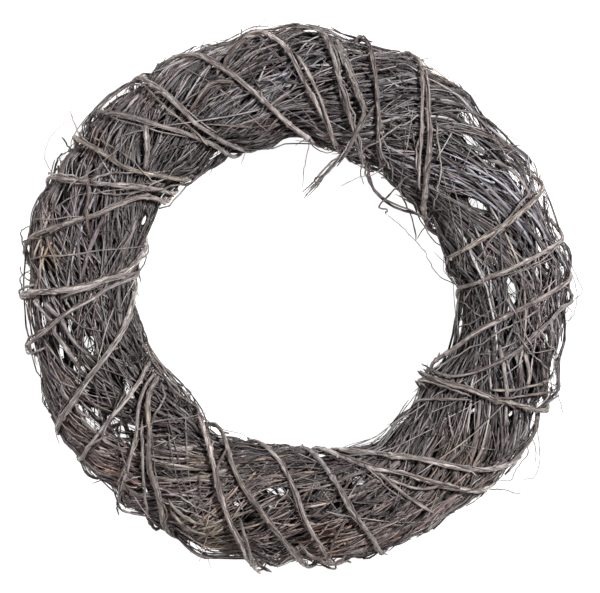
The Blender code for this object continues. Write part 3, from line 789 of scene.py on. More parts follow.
# Canes: thicker pale vines in one long winding over the twigs, which takes every fourth crossing.
canes = {
    # Ring angles at the outer edge, shoulder, crest, shoulder and inner edge, width, bark and lightness,
    # which is partly the cane's own tone and partly painted light and shade that evens out how the lamps
    # light each crossing.
    "crossings": [
        (179.6, 179.2, 178, 173.2, 163, 4.1, "pale", 1.47),
        (170, 165.8, 158.5, 146.6, 142.9, 3.6, "beige", 0.86),
        (155, 153.1, 149.5, 142.8, 139.5, 3.0, "cane", 1.9),
        (144.2, 143.9, 143.5, 138.4, 131.5, 3.2, "olive", 0.85),
        (138.8, 134.9, 129.3, 118.9, 114.4, 3.2, "cane", 0.6),
        (127, 124.6, 122, 115.9, 107.8, 3.5, "cane", 0.91),
        (118, 110.8, 103.1, 93.3, 82, 3.4, "cane", 0.88),
        (100, 93.8, 88.6, 80, 72.5, 3.0, "cane", 1.07),
        (88, 83, 78.3, 68.8, 61.5, 3.4, "grey", 1.06),
        (76, 72.9, 67.4, 61, 51, 2.9, "grey", 0.48),
        (65, 59.4, 51.5, 40.2, 29.5, 3.9, "cane", 0.68),
        (25, 22.6, 18.9, 15.8, 12.8, 3.5, "olive", 1.8),
        (14, 11, 7.6, 4.5, 1.2, 3.0, "cane", 0.91),
        (4.8, 1.9, -3, -11.7, -25.5, 3.4, "cane", 1),
        (0.2, -3.5, -15, -27, -29.8, 2.6, "grey", 0.63),
        (-23.8, -25.4, -27.6, -30, -33.4, 3.5, "olive", 0.77),
        (-35.5, -42.3, -49.8, -61, -75.5, 3.6, "pale", 1.16),
        (-43.5, -48.8, -56, -69, -82, 3.6, "pale", 1.64),
        (-71.2, -72.6, -76, -81.3, -88.5, 3.2, "grey", 0.86),
        (-81.4, -84.2, -88.9, -94.8, -106, 2.8, "cane", 0.84),
        (-87.6, -91.3, -100.7, -114.2, -121.5, 3.5, "beige", 0.71),
        (-99, -102.4, -110.5, -121.8, -132.5, 3.3, "cane", 1.4),
        (-117.2, -122.4, -133.7, -147.5, -152, 4.0, "beige", 0.42),
        (-130.6, -133.2, -139.2, -150.3, -155.2, 3.0, "cane", 0.77),
        (-142.8, -144.3, -147.3, -153.1, -158.4, 2.9, "pale", 0.94),
        (-150.7, -153.4, -159.1, -169, -182, 4.1, "pale", 1.9),
        (-169.3, -171.6, -177, -183.9, -188.2, 3.2, "cane", 0.81),
    ],
    "knotSections": (0, 45, 90, 135, 180),
    "advance": 4,
    "turns": 3,
    "first": -60,
    "last": 996,
    "step": 2.0,
    "radiiMm": [1.9, 1.8, 1.7, 1.8, 2.0, 1.8, 1.9, 1.7, 1.6],
    "taper": 0.12,
    "sides": 9,
    "wander": 1.3,          # millimetres to either side, at the knots
    "knotSpacing": (9, 28),
    "knotSwell": 0.55,
    "knotWidth": 1.3,       # millimetres
    "spurs": dict(chance=0.35, length=(1.5, 4.5), radius=(0.6, 0.9)),
    "seed": 23,
    "toneSpread": 0.10,
    "knotTone": 0.5,
    "bark": {
        "streakStretch": (2.8, 2.8, 1.1),
        "streakDark": (0.26, 0.22, 0.22), "streakPale": (1.64, 1.64, 1.64),
        "patchStretch": (0.9, 0.9, 1.0), "patchShare": 0.62, "patchColour": (0.15, 0.112, 0.100),
        "scarStretch": (1.5, 1.5, 1.3), "scarShare": 0.6, "scarColour": (0.56, 0.525, 0.51),
        "speckStretch": (2.0, 2.0, 3.5), "speckColour": (0.34, 0.28, 0.27),
        "ridgeStretch": (4.0, 4.0, 0.9), "ridgeStrength": 0.9, "ridgeDepth": 0.0006,
        "roughness": 0.68, "gloss": 0.4,
    },
}


def caneRow(turn):
    # The crossing that the winding takes on this turn, and how often it has gone round the ring by then.
    circuit, row = divmod(canes["advance"] * turn, len(canes["crossings"]))
    return canes["crossings"][row], circuit


def caneAngle(section):
    # Ring angle of the winding after this much turning, through its own crossings.
    knots = canes["knotSections"]

    def place(number):
        turn, knot = divmod(number, len(knots))
        return 360 * turn + knots[knot]

    def value(number):
        turn, knot = divmod(number, len(knots))
        crossing, circuit = caneRow(turn)
        return crossing[knot] - 360 * circuit

    def slope(number):
        spanBefore = place(number) - place(number - 1)
        spanAfter = place(number + 1) - place(number)
        before = (value(number) - value(number - 1)) / spanBefore
        after = (value(number + 1) - value(number)) / spanAfter
        near = (2 * spanAfter + spanBefore) / before
        far = (spanAfter + 2 * spanBefore) / after
        return 3 * (spanBefore + spanAfter) / (near + far)

    number = len(knots) * math.floor(section / 360)
    while place(number + 1) <= section:
        number += 1
    span = place(number + 1) - place(number)
    t = (section - place(number)) / span
    rise = t * t * (3 - 2 * t)
    lean = (slope(number) * t * (1 - t) ** 2 - slope(number + 1) * (1 - t) * t * t) * span
    return value(number) * (1 - rise) + value(number + 1) * rise + lean


vineShape = {
    "lift": (-0.2, 0.5),    # share of its wander that a knot lies lower or higher
    "girthSpread": 0.07,
    "toneSpread": 0.13,
    "scarAway": 1.3,        # millimetres from a knot to the dark scar beside it, and half of its width
    "scarReach": 0.9,
    "knotPale": 0.35,
}


def knottyTube(dice, centres, out, radius, taper, look):
    # A vine's own shape: straight runs with a kink and a swelling at each knot, and their colour.
    length = lengthAlong(centres)
    across = np.cross(unit(np.gradient(centres, axis=0)), out)
    knots = []
    at = dice.uniform(*look["knotSpacing"]) * mm
    while at < length[-1]:
        knots.append(at)
        at += dice.uniform(*look["knotSpacing"]) * mm
    corners = np.concatenate([[0], knots, [length[-1]]])

    def between(values):
        return np.interp(length, corners, values)

    sway = between(dice.uniform(-1, 1, len(corners))) * look["wander"] * mm
    lift = between(dice.uniform(*vineShape["lift"], len(corners))) * look["wander"] * mm
    centres = centres + across * sway[:, None] + out * lift[:, None]
    girth = np.exp(between(dice.normal(0, vineShape["girthSpread"], len(corners))))
    radii = radius * (1 - taper * length / length[-1]) * girth
    tone = np.exp(between(dice.normal(0, vineShape["toneSpread"], len(corners))))
    for knot in knots:
        near = np.exp(-((length - knot) / (look["knotWidth"] * mm)) ** 2)
        radii = radii * (1 + look["knotSwell"] * dice.uniform(0.3, 1) * near)
        beside = length - knot - vineShape["scarAway"] * mm
        scar = np.exp(-(beside / (vineShape["scarReach"] * mm)) ** 2)
        pale = 1 + vineShape["knotPale"] * dice.random() * near
        tone = tone * (1 - (1 - look["knotTone"]) * scar) * pale
    return centres, radii, tone, knots


def knotSpurs(piece, dice, centres, out, radii, knots, colour, look):
    # Stubs of cut side shoots at some of the knots.
    length = lengthAlong(centres)
    along = unit(np.gradient(centres, axis=0))
    for knot in knots:
        if dice.random() > look["chance"]:
            continue
        place = min(int(np.searchsorted(length, knot)), len(length) - 2)
        roll = dice.uniform(0, math.tau)
        across = np.cross(along[place], out[place])
        side = out[place] * abs(math.cos(roll)) * 0.7 + across * math.sin(roll)
        way = unit(along[place] * dice.choice([-1, 1]) * 0.8 + side)
        reach = radii[place] + dice.uniform(*look["length"]) * mm
        thick = dice.uniform(*look["radius"]) * mm
        route = centres[place] + way * np.array([[0.0], [0.7], [1.0]]) * reach
        tone = np.array([colour[place], colour[place] * 0.9, colour[place] * 1.35])
        piece.add(route[None], np.broadcast_to(out[place], (1, 3, 3)),
                  np.array([[1.2, 0.95, 0.8]]) * thick, tone[None], 6, dice)


def makeCanes(material):
    total = 0
    for number, radiusMm in enumerate(canes["radiiMm"]):
        dice = np.random.default_rng(canes["seed"] + number)
        skipped = 360 * canes["turns"] * number
        sections = np.arange(canes["first"], canes["last"] + canes["step"] / 2, canes["step"]) + skipped
        angles = np.array([caneAngle(section) for section in sections])
        radius = radiusMm * mm
        centres, out = bodyPoint(angles, sections, radius)
        centres, radii, tone, knots = knottyTube(dice, centres, out, radius, canes["taper"], canes)
        # The bark follows the crossing that this stretch belongs to, and changes on the back.
        stretch = np.floor((sections + 90) / 360)
        share = np.clip(((sections + 90) / 360 - stretch) * 8, 0, 1)
        before, here = [[caneRow(int(turn) + k)[0] for turn in stretch] for k in (-1, 0)]
        # Row 7 scales the bark: partly the cane's own tone, partly painted light and shade for how the
        # lamps light that crossing.
        colour, width = [
            np.array([pick(row) for row in before]) * (1 - share)[:, None]
            + np.array([pick(row) for row in here]) * share[:, None]
            for pick in (lambda row: np.array(barkTones[row[6]]) * row[7], lambda row: [row[5]])]
        radii = radii * width[:, 0] * mm / 2 / radius
        colour = colour * tone[:, None] * math.exp(dice.normal(0, canes["toneSpread"]))
        piece = Piece("cane_%02d" % (number + 1))
        piece.add(centres[None], out[None], radii[None], colour[None], canes["sides"], dice, 0.03)
        knotSpurs(piece, dice, centres, out, radii, knots, colour, canes["spurs"])
        total += piece.make(material, ["binding_cane_%02d" % (number + 1)])
    return total


# The snapped cane at the top: its rough bark lies on the twigs and its splintered end hangs in the hole.
brokenCane = {
    "radiusMm": 2.0,
    "heightMm": 1.4,
    "onBody": [  # ring angle, section, millimetres up
        (81.6, 36, 0), (79.2, 56, 0), (76.2, 75, 0), (73, 90, 0.5), (70.3, 103, 3.5), (70.6, 128, 5.5),
    ],
    "inHoleMm": [(34, 102, 67.4), (26, 95, 63.4), (16, 84, 58.4), (6, 72, 55.4)],
    "steps": 14,
    "sides": 9,
    "seed": 5,
    "tone": "grey",
    "knotSpacing": (8, 18),
    "knotSwell": 0.35,
    "knotWidth": 1.3,
    "knotTone": 0.5,
    "wander": 0.8,
    "bareFrom": 0.62,       # share of its length, from its rooted end
    "flakes": dict(count=44, radius=(0.35, 0.85), span=(0.10, 0.34), side=2.3, lift=1.9,
                   tones=(0.66, 0.42, 0.05)),
    "spurs": dict(chance=0.7, length=(1, 3.5), radius=(0.5, 0.8)),
    "thickness": ([0, 0.38, 0.46, 0.62, 0.8, 1], [1.15, 1.2, 0.8, 0.8, 0.6, 0.3]),  # along its length
    "strandsMm": [  # thickness, then the offset to the side and up at the start, the middle and the tip
        (0.75, (0.0, 0.4), (1.4, 0.8), (2.6, 0.8)),
        (0.60, (0.6, -0.2), (-1.2, 0.6), (-2.4, -0.8)),
        (0.45, (-0.8, 0.2), (-0.4, 1.4), (0.6, 2.0)),
    ],
    "bark": {
        "streakStretch": (3.0, 3.0, 1.6), "streakDark": (0.40, 0.36, 0.34), "streakPale": (1.5, 1.5, 1.5),
        "patchStretch": (1.2, 1.2, 1.2), "patchShare": 0.5, "patchColour": (0.16, 0.115, 0.09),
        "scarStretch": (2.0, 2.0, 2.5), "scarShare": 0.7, "scarColour": (0.60, 0.57, 0.54),
        "speckStretch": (2.5, 2.5, 3.0), "speckColour": (0.4, 0.34, 0.3),
        "ridgeStretch": (5.0, 5.0, 3.0), "ridgeStrength": 0.9, "ridgeDepth": 0.0009,
        "roughness": 0.85, "gloss": 0.25,
    },
}


def makeBrokenCane(material):
    look = brokenCane
    dice = np.random.default_rng(look["seed"])
    points = [bodyPoint(angle, section, (look["heightMm"] + up) * mm)[0]
              for angle, section, up in look["onBody"]]
    middle = np.array([*ring["centre"], 0.0])
    points += [middle + np.array(place) * mm for place in look["inHoleMm"]]
    centres = smoothRoute(points, look["steps"])
    out = np.broadcast_to(unit(np.array([0.1, 0.2, 1.0])), centres.shape)
    centres, radii, tone, knots = knottyTube(dice, centres, out, look["radiusMm"] * mm, 0.1, look)
    radii = radii * np.interp(np.linspace(0, 1, len(centres)), *look["thickness"])
    colour = np.array(barkTones[look["tone"]]) * tone[:, None]
    piece = Piece("broken_vine")
    piece.add(centres[None], out[None], radii[None], colour[None], look["sides"], dice, 0.07)
    knotSpurs(piece, dice, centres, out, radii, knots, colour, look["spurs"])
    # Flakes of bark stand up along the part that lies on the twigs.
    flakes = look["flakes"]
    head = centres[:int(len(centres) * 0.44)]
    sideways = np.cross(unit(np.gradient(head, axis=0)), out[:len(head)])
    for _ in range(flakes["count"]):
        span = int(dice.uniform(*flakes["span"]) * len(head))
        begin = int(dice.integers(0, len(head) - span + 1))
        part = slice(begin, begin + span)
        side = dice.uniform(-1, 1)
        lift = math.sqrt(1 - 0.8 * side ** 2) * flakes["lift"]
        splay = np.linspace(0, 1, span)[:, None] ** 2 * dice.uniform(0.3, 1.2)
        aside = sideways[part] * side * (flakes["side"] + splay)
        route = head[part] + (aside + out[part] * (lift + splay)) * mm
        thin = dice.uniform(*flakes["radius"]) * mm * np.linspace(1, 0.35, span)
        shade = np.array([1.0, 0.95, 0.9]) * dice.choice(flakes["tones"])
        shade = shade * np.exp(dice.normal(0, 0.2, (span, 1)))
        piece.add(route[None], out[None, part], thin[None], shade[None], 4, dice)
    # Splinters part from the last third of the cane and run to its tip.
    tail = centres[int(len(centres) * look["bareFrom"]):]
    share = np.linspace(0, 1, len(tail))
    across = np.cross(unit(np.gradient(tail, axis=0)), upward)
    for thick, *offsets in look["strandsMm"]:
        side = np.interp(share, [0, 0.5, 1], [offset[0] for offset in offsets])
        rise = np.interp(share, [0, 0.5, 1], [offset[1] for offset in offsets])
        jitter = np.cumsum(dice.normal(0, 0.12, len(tail)))
        route = tail + (across * (side + jitter)[:, None] + upward * rise[:, None]) * mm
        thin = thick * mm * np.interp(share, [0, 0.8, 1], [1, 0.85, 0.5])
        shade = np.array(barkTones["grey"]) * np.exp(dice.normal(0, 0.15, (len(tail), 1)))
        outs = np.broadcast_to(upward, (1, len(tail), 3))
        piece.add(route[None], outs, thin[None], shade[None], 5, dice)
    return piece.make(material, ["broken_cane"])


# Thin vines that lie on the front, as the camera sees them.
thinVines = {
    "seed": 61,
    "gapMm": 0.5,           # between a vine and the twigs under it
    "underMm": 1.4,         # from this radius a vine passes under the canes, and a thinner one over them
    "steps": 4,
    "kink": 0.5,            # millimetres, and less in a thick vine
    "sides": 6,
    "besideCanes": dict(perCrossing=2, radius=(0.35, 0.8), begins=(5, 65), ends=(105, 160), aside=4.5,
                        ringReach=0.155, sides=5,
                        tones=("red", "brown", "brown", "grey", "pale", "cane")),
    "routes": [  # bark, radius, and x and y in millimetres from the ring's middle
        ("olive", 0.8, [(-110, 152), (-99, 140), (-87, 129), (-74, 120), (-66, 111)]),
        ("pale", 0.6, [(-138, 65), (-117, 77), (-99, 87), (-80, 98)]),
        ("cane", 1.1, [(-148, 82), (-144, 86), (-134, 89), (-119, 90)]),
        ("cane", 0.9, [(-146, 81), (-128, 80), (-107, 79), (-81, 86)]),
        ("grey", 0.8, [(-145, 77), (-135, 74), (-123, 75), (-108, 80)]),
        ("pale", 0.7, [(-179, 88), (-164, 87), (-147, 84)]),
        ("pale", 0.6, [(-192, 56), (-171, 56), (-152, 58)]),
        ("cane", 0.7, [(-193, 27), (-171, 30), (-143, 33), (-110, 38)]),
        ("brown", 1.3, [(-150, 84), (-151, 70), (-152, 58), (-150, 42)]),
        ("grey", 1.9, [(-110, 125), (-109, 113), (-109, 102), (-111, 91)]),
        ("brown", 1.6, [(-45, 155), (-61, 154), (-69, 147), (-78, 133)]),
        ("brown", 1.7, [(-37, 185), (-45, 177), (-53, 168), (-59, 160)]),
        ("grey", 1.8, [(-182, -4), (-176, -10), (-169, -19), (-161, -32), (-151, -42)]),
        ("grey", 1.6, [(-178, -21), (-171, -31), (-163, -42), (-156, -53)]),
        ("pale", 1.5, [(-190, -1), (-183, -10), (-177, -18)]),
        ("grey", 1.4, [(-157, -85), (-146, -97), (-134, -106), (-122, -112)]),
        ("olive", 1.2, [(-92, -153), (-81, -164), (-66, -170), (-52, -166)]),
        ("olive", 1.3, [(-94, -146), (-82, -157), (-68, -163), (-50, -159)]),
        ("pale", 0.5, [(-97, -146), (-84, -152), (-68, -159), (-52, -165)]),
        ("grey", 1.5, [(-171, -63), (-163, -76), (-151, -87)]),
        ("pale", 0.5, [(-166, 76), (-148, 90), (-131, 104), (-118, 121)]),
        ("pale", 0.45, [(-176, 62), (-160, 72), (-139, 76), (-114, 80)]),
        ("pale", 0.45, [(-131, 108), (-119, 98), (-110, 88), (-97, 82)]),
        ("grey", 0.8, [(-133, 17), (-119, 27), (-109, 39)]),
        ("grey", 0.7, [(-130, 12), (-116, 22), (-109, 32)]),
        ("cane", 1.3, [(-1, 174), (8, 160), (17, 142), (25, 122), (32, 107)]),
        ("grey", 1.0, [(27, 162), (35, 142), (41, 122), (48, 99)]),
        ("pale", 0.7, [(32, 153), (40, 133), (47, 109), (53, 87)]),
        ("cane", 1.3, [(87, 162), (89, 149), (89, 133), (89, 113), (88, 95), (89, 77)]),
        ("pale", 0.8, [(91, 123), (86, 107), (87, 90), (89, 78)]),
        ("pale", 0.7, [(99, 128), (101, 112), (103, 90), (101, 76), (98, 63)]),
        ("pale", 0.7, [(39, 104), (55, 112), (73, 122), (89, 132)]),
        ("grey", 0.8, [(168, 86), (166, 76), (152, 58), (139, 40), (125, 21)]),
        ("pale", 0.7, [(174, -9), (156, -19), (139, -29), (112, -45), (98, -56)]),
        ("pale", 0.6, [(172, -23), (181, -35), (190, -47)]),
        ("pale", 0.5, [(148, 2), (157, -12), (165, -30), (171, -41)]),
        ("pale", 0.5, [(155, -24), (165, -38), (173, -46), (180, -52)]),
        ("pale", 0.45, [(119, -3), (130, -12), (139, -15)]),
        ("grey", 0.5, [(112, -24), (128, -17), (150, -2), (170, 14)]),
        ("olive", 1.0, [(184, -57), (171, -63), (153, -67), (139, -67)]),
        ("brown", 1.0, [(187, -67), (167, -70), (153, -72), (139, -73)]),
        ("cane", 1.3, [(87, -55), (98, -59), (112, -65), (125, -68), (139, -73)]),
        ("grey", 1.0, [(85, -63), (98, -63), (112, -67), (125, -72)]),
        ("grey", 1.3, [(83, -78), (91, -75), (104, -74), (125, -74)]),
        ("cane", 1.1, [(63, -130), (78, -136), (91, -138), (101, -135)]),
        ("cane", 1.4, [(47, -117), (60, -128), (78, -143), (101, -157)]),
        ("pale", 0.6, [(48, -122), (63, -136), (78, -147)]),
        ("pale", 0.6, [(-132, -4), (-138, -22), (-145, -48)]),
        ("grey", 0.9, [(-101, -63), (-97, -73), (-104, -86), (-107, -94)]),
        ("grey", 1.2, [(-113, -92), (-112, -108), (-111, -128), (-109, -146), (-106, -161)]),
        ("cane", 0.8, [(-125, -131), (-118, -130), (-112, -129)]),
        ("cream", 1.3, [(-111, -78), (-109, -90), (-107, -103)]),
        ("cream", 0.6, [(-147, 115), (-140, 112), (-132, 107)]),
        ("pale", 0.55, [(-97, -138), (-84, -144), (-70, -152), (-56, -159)]),
        ("pale", 0.5, [(-118, -98), (-104, -90), (-84, -88), (-68, -86)]),
        ("grey", 0.5, [(-130, -103), (-124, -118), (-117, -132)]),
        ("brown", 1.0, [(-53, -112), (-59, -125), (-56, -142), (-50, -160), (-41, -178)]),
        ("cane", 1.2, [(-42, -160), (-35, -179), (-30, -191), (-23, -196)]),
        ("pale", 0.6, [(-7, -139), (-17, -151), (-23, -156)]),
        ("brown", 1.3, [(1, -178), (9, -185), (22, -188), (35, -186)]),
        ("brown", 1.1, [(34, -161), (29, -169), (24, -179), (23, -186)]),
        ("grey", 1.6, [(145, -35), (149, -56), (150, -74), (148, -96)]),
        ("pale", 0.7, [(-99, 63), (-78, 77), (-60, 99)]),
        ("cane", 1.0, [(-171, -1), (-153, 6), (-137, 14), (-122, 18)]),
        ("grey", 1.5, [(138, 99), (156, 88), (168, 70)]),
        ("cane", 0.7, [(59, 116), (63, 104), (68, 92)]),
        ("grey", 0.6, [(61, 119), (66, 103), (70, 86)]),
        ("pale", 1.5, [(163, -41), (165, -49), (166, -57), (165, -63)]),
    ],
}


def humpOverCanes(places, radius):
    # How far a thin vine is lifted where it passes over a cane.
    humps = np.zeros(len(places))
    for run, canesRadius in caneRuns:
        far = np.linalg.norm(places[:, None, :2] - run[None, :, :2], axis=-1)
        near = far.min(axis=1)
        humps = np.maximum(humps, (2 * canesRadius + 0.2 * mm) * np.exp(-(near / (4.5 * mm)) ** 4))
    return humps


def strandsBesideCanes(piece, dice, look, gapMm):
    # Thin strands that run along a cane, close beside it or across it, with their ends among the twigs.
    for crossing in range(len(canes["crossings"])):
        canesRadius = caneRow(crossing)[0][5] / 2
        for _ in range(look["perCrossing"]):
            sections = np.arange(dice.uniform(*look["begins"]), dice.uniform(*look["ends"]), 4.0)
            radius = dice.uniform(*look["radius"])
            knots = np.linspace(sections[0], sections[-1], 4)
            aside = np.interp(sections, knots, dice.uniform(-look["aside"], look["aside"], 4))
            aside = aside + dice.normal(0, 0.15, len(sections))
            angles = np.array([caneAngle(section + 360 * crossing) for section in sections])
            angles = angles + np.degrees(aside * mm / look["ringReach"])
            lift = np.sqrt(np.maximum((canesRadius + radius) ** 2 - (0.85 * aside) ** 2, 0))
            height = np.maximum(np.where(lift > 0, canesRadius + lift, 0), radius + gapMm)
            height[[0, -1]] = -2.5 * radius
            centres, out = bodyPoint(angles, sections, height * mm)
            oneTwig(piece, dice, centres, out, radius, dice.choice(look["tones"]), look["sides"])


def makeThinVines(material):
    look = thinVines
    dice = np.random.default_rng(look["seed"])
    piece = Piece("thin_vines")
    for tone, radiusMm, route in look["routes"]:
        plan = smoothRoute(route, look["steps"])
        plan[1:-1] += dice.normal(0, look["kink"] * min(1, 0.5 / radiusMm ** 2), plan[1:-1].shape)
        radius = radiusMm * mm
        start, out = frontPoints(plan, radius + look["gapMm"] * mm)
        rise = humpOverCanes(start, radius) * (-1 if radiusMm >= look["underMm"] else 1)
        centres, out = frontPoints(plan, radius + look["gapMm"] * mm + rise)
        for end in (0, -1):  # both ends are tucked in under the twigs
            centres[end] -= out[end] * 2.5 * radius
        oneTwig(piece, dice, centres, out, radiusMm, tone, look["sides"])
    strandsBesideCanes(piece, dice, look["besideCanes"], look["gapMm"])
    return piece.make(material)


# Loose ends that stand out from the ring and into its hole, as the camera sees them.
looseEnds = {
    "seed": 83,
    "anchorMm": 9,
    "steps": 4,
    "kink": 0.25,
    "sides": 5,
    "routes": [  # bark, radius, which ends are rooted in the twigs, and x, y and height in millimetres
        ("dark", 1.10, 2, [(51, 87, 50), (57, 74, 52), (69, 65, 50), (84, 60, 46), (98, 54, 40)]),
        ("dark", 0.90, 2, [(49, 89, 54), (55, 77, 57), (67, 68, 54), (82, 62, 50), (96, 55, 44)]),
        ("dark", 0.70, 1, [(73, 81, 60), (65, 73, 60), (58, 65, 57), (64, 63, 54), (63, 60, 52)]),
        ("dark", 0.60, 1, [(73, 78, 50), (79, 64, 48), (83, 54, 44), (85, 41, 40)]),
        ("dark", 0.60, 2, [(77, 81, 46), (87, 68, 44), (94, 61, 40), (97, 53, 38)]),
        ("grey", 0.40, 1, [(112, 10, 36), (103, 14, 36), (95, 24, 36), (91, 33, 38), (82, 43, 40),
                           (72, 53, 46),
                           (63, 60, 52)]),
        ("dark", 0.50, 1, [(99, 60, 46), (95, 56, 46), (91, 50, 44), (86, 42, 42)]),
        ("dark", 0.50, 2, [(82, 70, 40), (91, 50, 36), (102, 37, 36)]),
        ("pale", 0.35, 1, [(54, 88, 54), (46, 87, 54), (39, 84, 52), (31, 80, 48)]),
        ("grey", 0.35, 1, [(8, 111, 46), (6, 100, 42), (4, 90, 38), (3, 79, 33)]),
        ("dark", 0.50, 2, [(10, 110, 48), (16, 105, 50), (22, 104, 50), (28, 107, 48)]),
        ("dark", 0.50, 1, [(45, 91, 46), (46, 86, 44), (47, 81, 43)]),
        ("brown", 0.80, 1, [(52, 133, 74), (42, 117, 73), (35, 104, 71), (28, 94, 68)]),
        ("grey", 0.80, 1, [(49, 129, 72), (39, 114, 71), (30, 100, 68), (22, 90, 64), (12, 81, 60),
                           (4, 71, 57)]),
        ("dark", 0.60, 0, [(26, 95, 64), (23, 93, 64), (17, 87, 64), (13, 86, 65), (12, 84, 63),
                           (14, 81, 60)]),
        ("dark", 0.50, 0, [(32, 101, 67), (34, 101, 68), (38, 97, 66), (37, 102, 66)]),
        ("pale", 0.60, 1, [(-157, 115, 50), (-161, 125, 47), (-164, 134, 44)]),
        ("dark", 0.70, 1, [(-164, 107, 44), (-167, 111, 40), (-170, 115, 37)]),
        ("pale", 0.30, 1, [(-177, 89, 40), (-182, 100, 38), (-181, 109, 38), (-176, 118, 38),
                           (-167, 126, 42),
                           (-162, 127, 46)]),
        ("dark", 0.60, 2, [(-194, -2, 40), (-199, 9, 34), (-200, 14, 32)]),
        ("dark", 0.60, 2, [(-196, 34, 42), (-199, 43, 38), (-199, 48, 36)]),
        ("dark", 0.70, 1, [(-130, -146, 36), (-130, -152, 34), (-129, -157, 32)]),
        ("pale", 0.35, 2, [(187, 42, 42), (196, 25, 40), (202, 12, 38), (205, 4, 36)]),
        ("pale", 0.35, 2, [(190, 34, 38), (199, 10, 36), (201, -2, 34), (197, -15, 32)]),
        ("pale", 0.35, 2, [(189, -2, 30), (197, -11, 28), (196, -15, 28), (189, -24, 30)]),
        ("grey", 0.35, 1, [(186, -66, 34), (189, -76, 32), (191, -84, 30)]),
        ("grey", 0.35, 2, [(171, -92, 40), (174, -107, 36), (174, -119, 33), (170, -130, 30)]),
        ("grey", 0.35, 1, [(168, -98, 36), (171, -109, 32), (171, -119, 30)]),
        ("dark", 0.40, 2, [(166, -112, 38), (160, -120, 36), (156, -126, 33), (153, -132, 31)]),
        ("dark", 0.40, 1, [(138, -138, 40), (149, -139, 38), (161, -142, 36)]),
        ("dark", 1.00, 2, [(42, 185, 50), (45, 188, 47), (49, 186, 44), (51, 180, 44)]),
        ("dark", 0.80, 2, [(72, 173, 50), (76, 176, 47), (81, 175, 44)]),
        ("dark", 0.90, 1, [(102, -64, 46), (91, -57, 47), (86, -53, 48)]),
        ("brown", 0.90, 1, [(99, -70, 48), (90, -63, 49), (84, -60, 48)]),
        ("dark", 0.70, 1, [(104, -58, 44), (94, -51, 45), (89, -48, 46)]),
        ("dark", 1.20, 2, [(-50, 106, 44), (-60, 99, 44), (-70, 89, 44), (-79, 81, 44)]),
        ("brown", 0.80, 2, [(-66, 101, 46), (-75, 91, 44), (-82, 82, 43)]),
        ("cane", 0.90, 2, [(-194, 8, 50), (-199, 6, 44), (-201, 3, 41), (-199, 0, 42), (-195, 0, 50)]),
        ("grey", 0.60, 1, [(-194, 12, 46), (-199, 17, 42), (-200, 22, 40)]),
        ("cane", 0.95, 2, [(-186, -27, 54), (-193, -29, 46), (-196, -35, 42), (-194, -41, 44),
                           (-186, -38, 54)]),
        ("brown", 0.60, 2, [(-177, -70, 46), (-182, -74, 42), (-181, -80, 40), (-176, -84, 42)]),
        ("grey", 0.45, 2, [(-179, -67, 44), (-184, -72, 40), (-183, -77, 40), (-177, -80, 44)]),
        ("brown", 1.50, 2, [(-109, -154, 44), (-107, -161, 40), (-103, -167, 36), (-98, -165, 34),
                            (-99, -158, 34)]),
        ("dark", 0.70, 2, [(-114, -17, 42), (-108, -33, 40), (-101, -49, 38), (-86, -60, 36),
                           (-69, -81, 38),
                           (-65, -97, 42)]),
        ("dark", 0.55, 2, [(-112, -26, 38), (-103, -46, 34), (-92, -58, 33), (-78, -68, 34),
                           (-68, -90, 38)]),
        ("brown", 0.60, 2, [(-106, -40, 44), (-96, -55, 40), (-82, -70, 38), (-72, -80, 40)]),
        ("brown", 0.90, 2, [(12, -189, 40), (20, -194, 36), (26, -196, 33), (27, -193, 34),
                            (23, -186, 38)]),
        ("cane", 1.20, 1, [(-38, -186, 46), (-32, -195, 40), (-27, -199, 38)]),
        ("brown", 1.30, 1, [(-35, -181, 44), (-26, -194, 38), (-19, -198, 35)]),
    ],
}


def rootPoint(first, second):
    # A point inside the twig body, from which a loose end grows.
    centre = np.array([*ring["centre"], ring["sectionHeight"]])
    away = first - centre
    angle = math.degrees(math.atan2(away[1], away[0]))
    inner, outer = bodyRadii(np.array(angle))
    radial = np.array([math.cos(math.radians(angle)), math.sin(math.radians(angle)), 0])
    inward = unit(centre + radial * (inner + outer) / 2 - first)
    return first + unit(unit(first - second) + 1.3 * inward) * looseEnds["anchorMm"] * mm


def makeLooseEnds(material):
    look = looseEnds
    dice = np.random.default_rng(look["seed"])
    piece = Piece("loose_ends")
    centre = np.array(ring["centre"])
    for tone, radiusMm, rooted, route in look["routes"]:
        places = np.array(route, float) * mm
        places[:, :2] = underEye(places[:, :2] + centre, places[:, 2:3])
        if rooted > 0:
            places = np.vstack([rootPoint(places[0], places[1]), places])
        if rooted > 1:
            places = np.vstack([places, rootPoint(places[-1], places[-2])])
        centres = smoothRoute(places, look["steps"])
        centres[1:-1] += dice.normal(0, look["kink"], centres[1:-1].shape) * mm
        out = np.broadcast_to(upward, centres.shape)
        oneTwig(piece, dice, centres, out, radiusMm, tone, look["sides"])
    return piece.make(material)


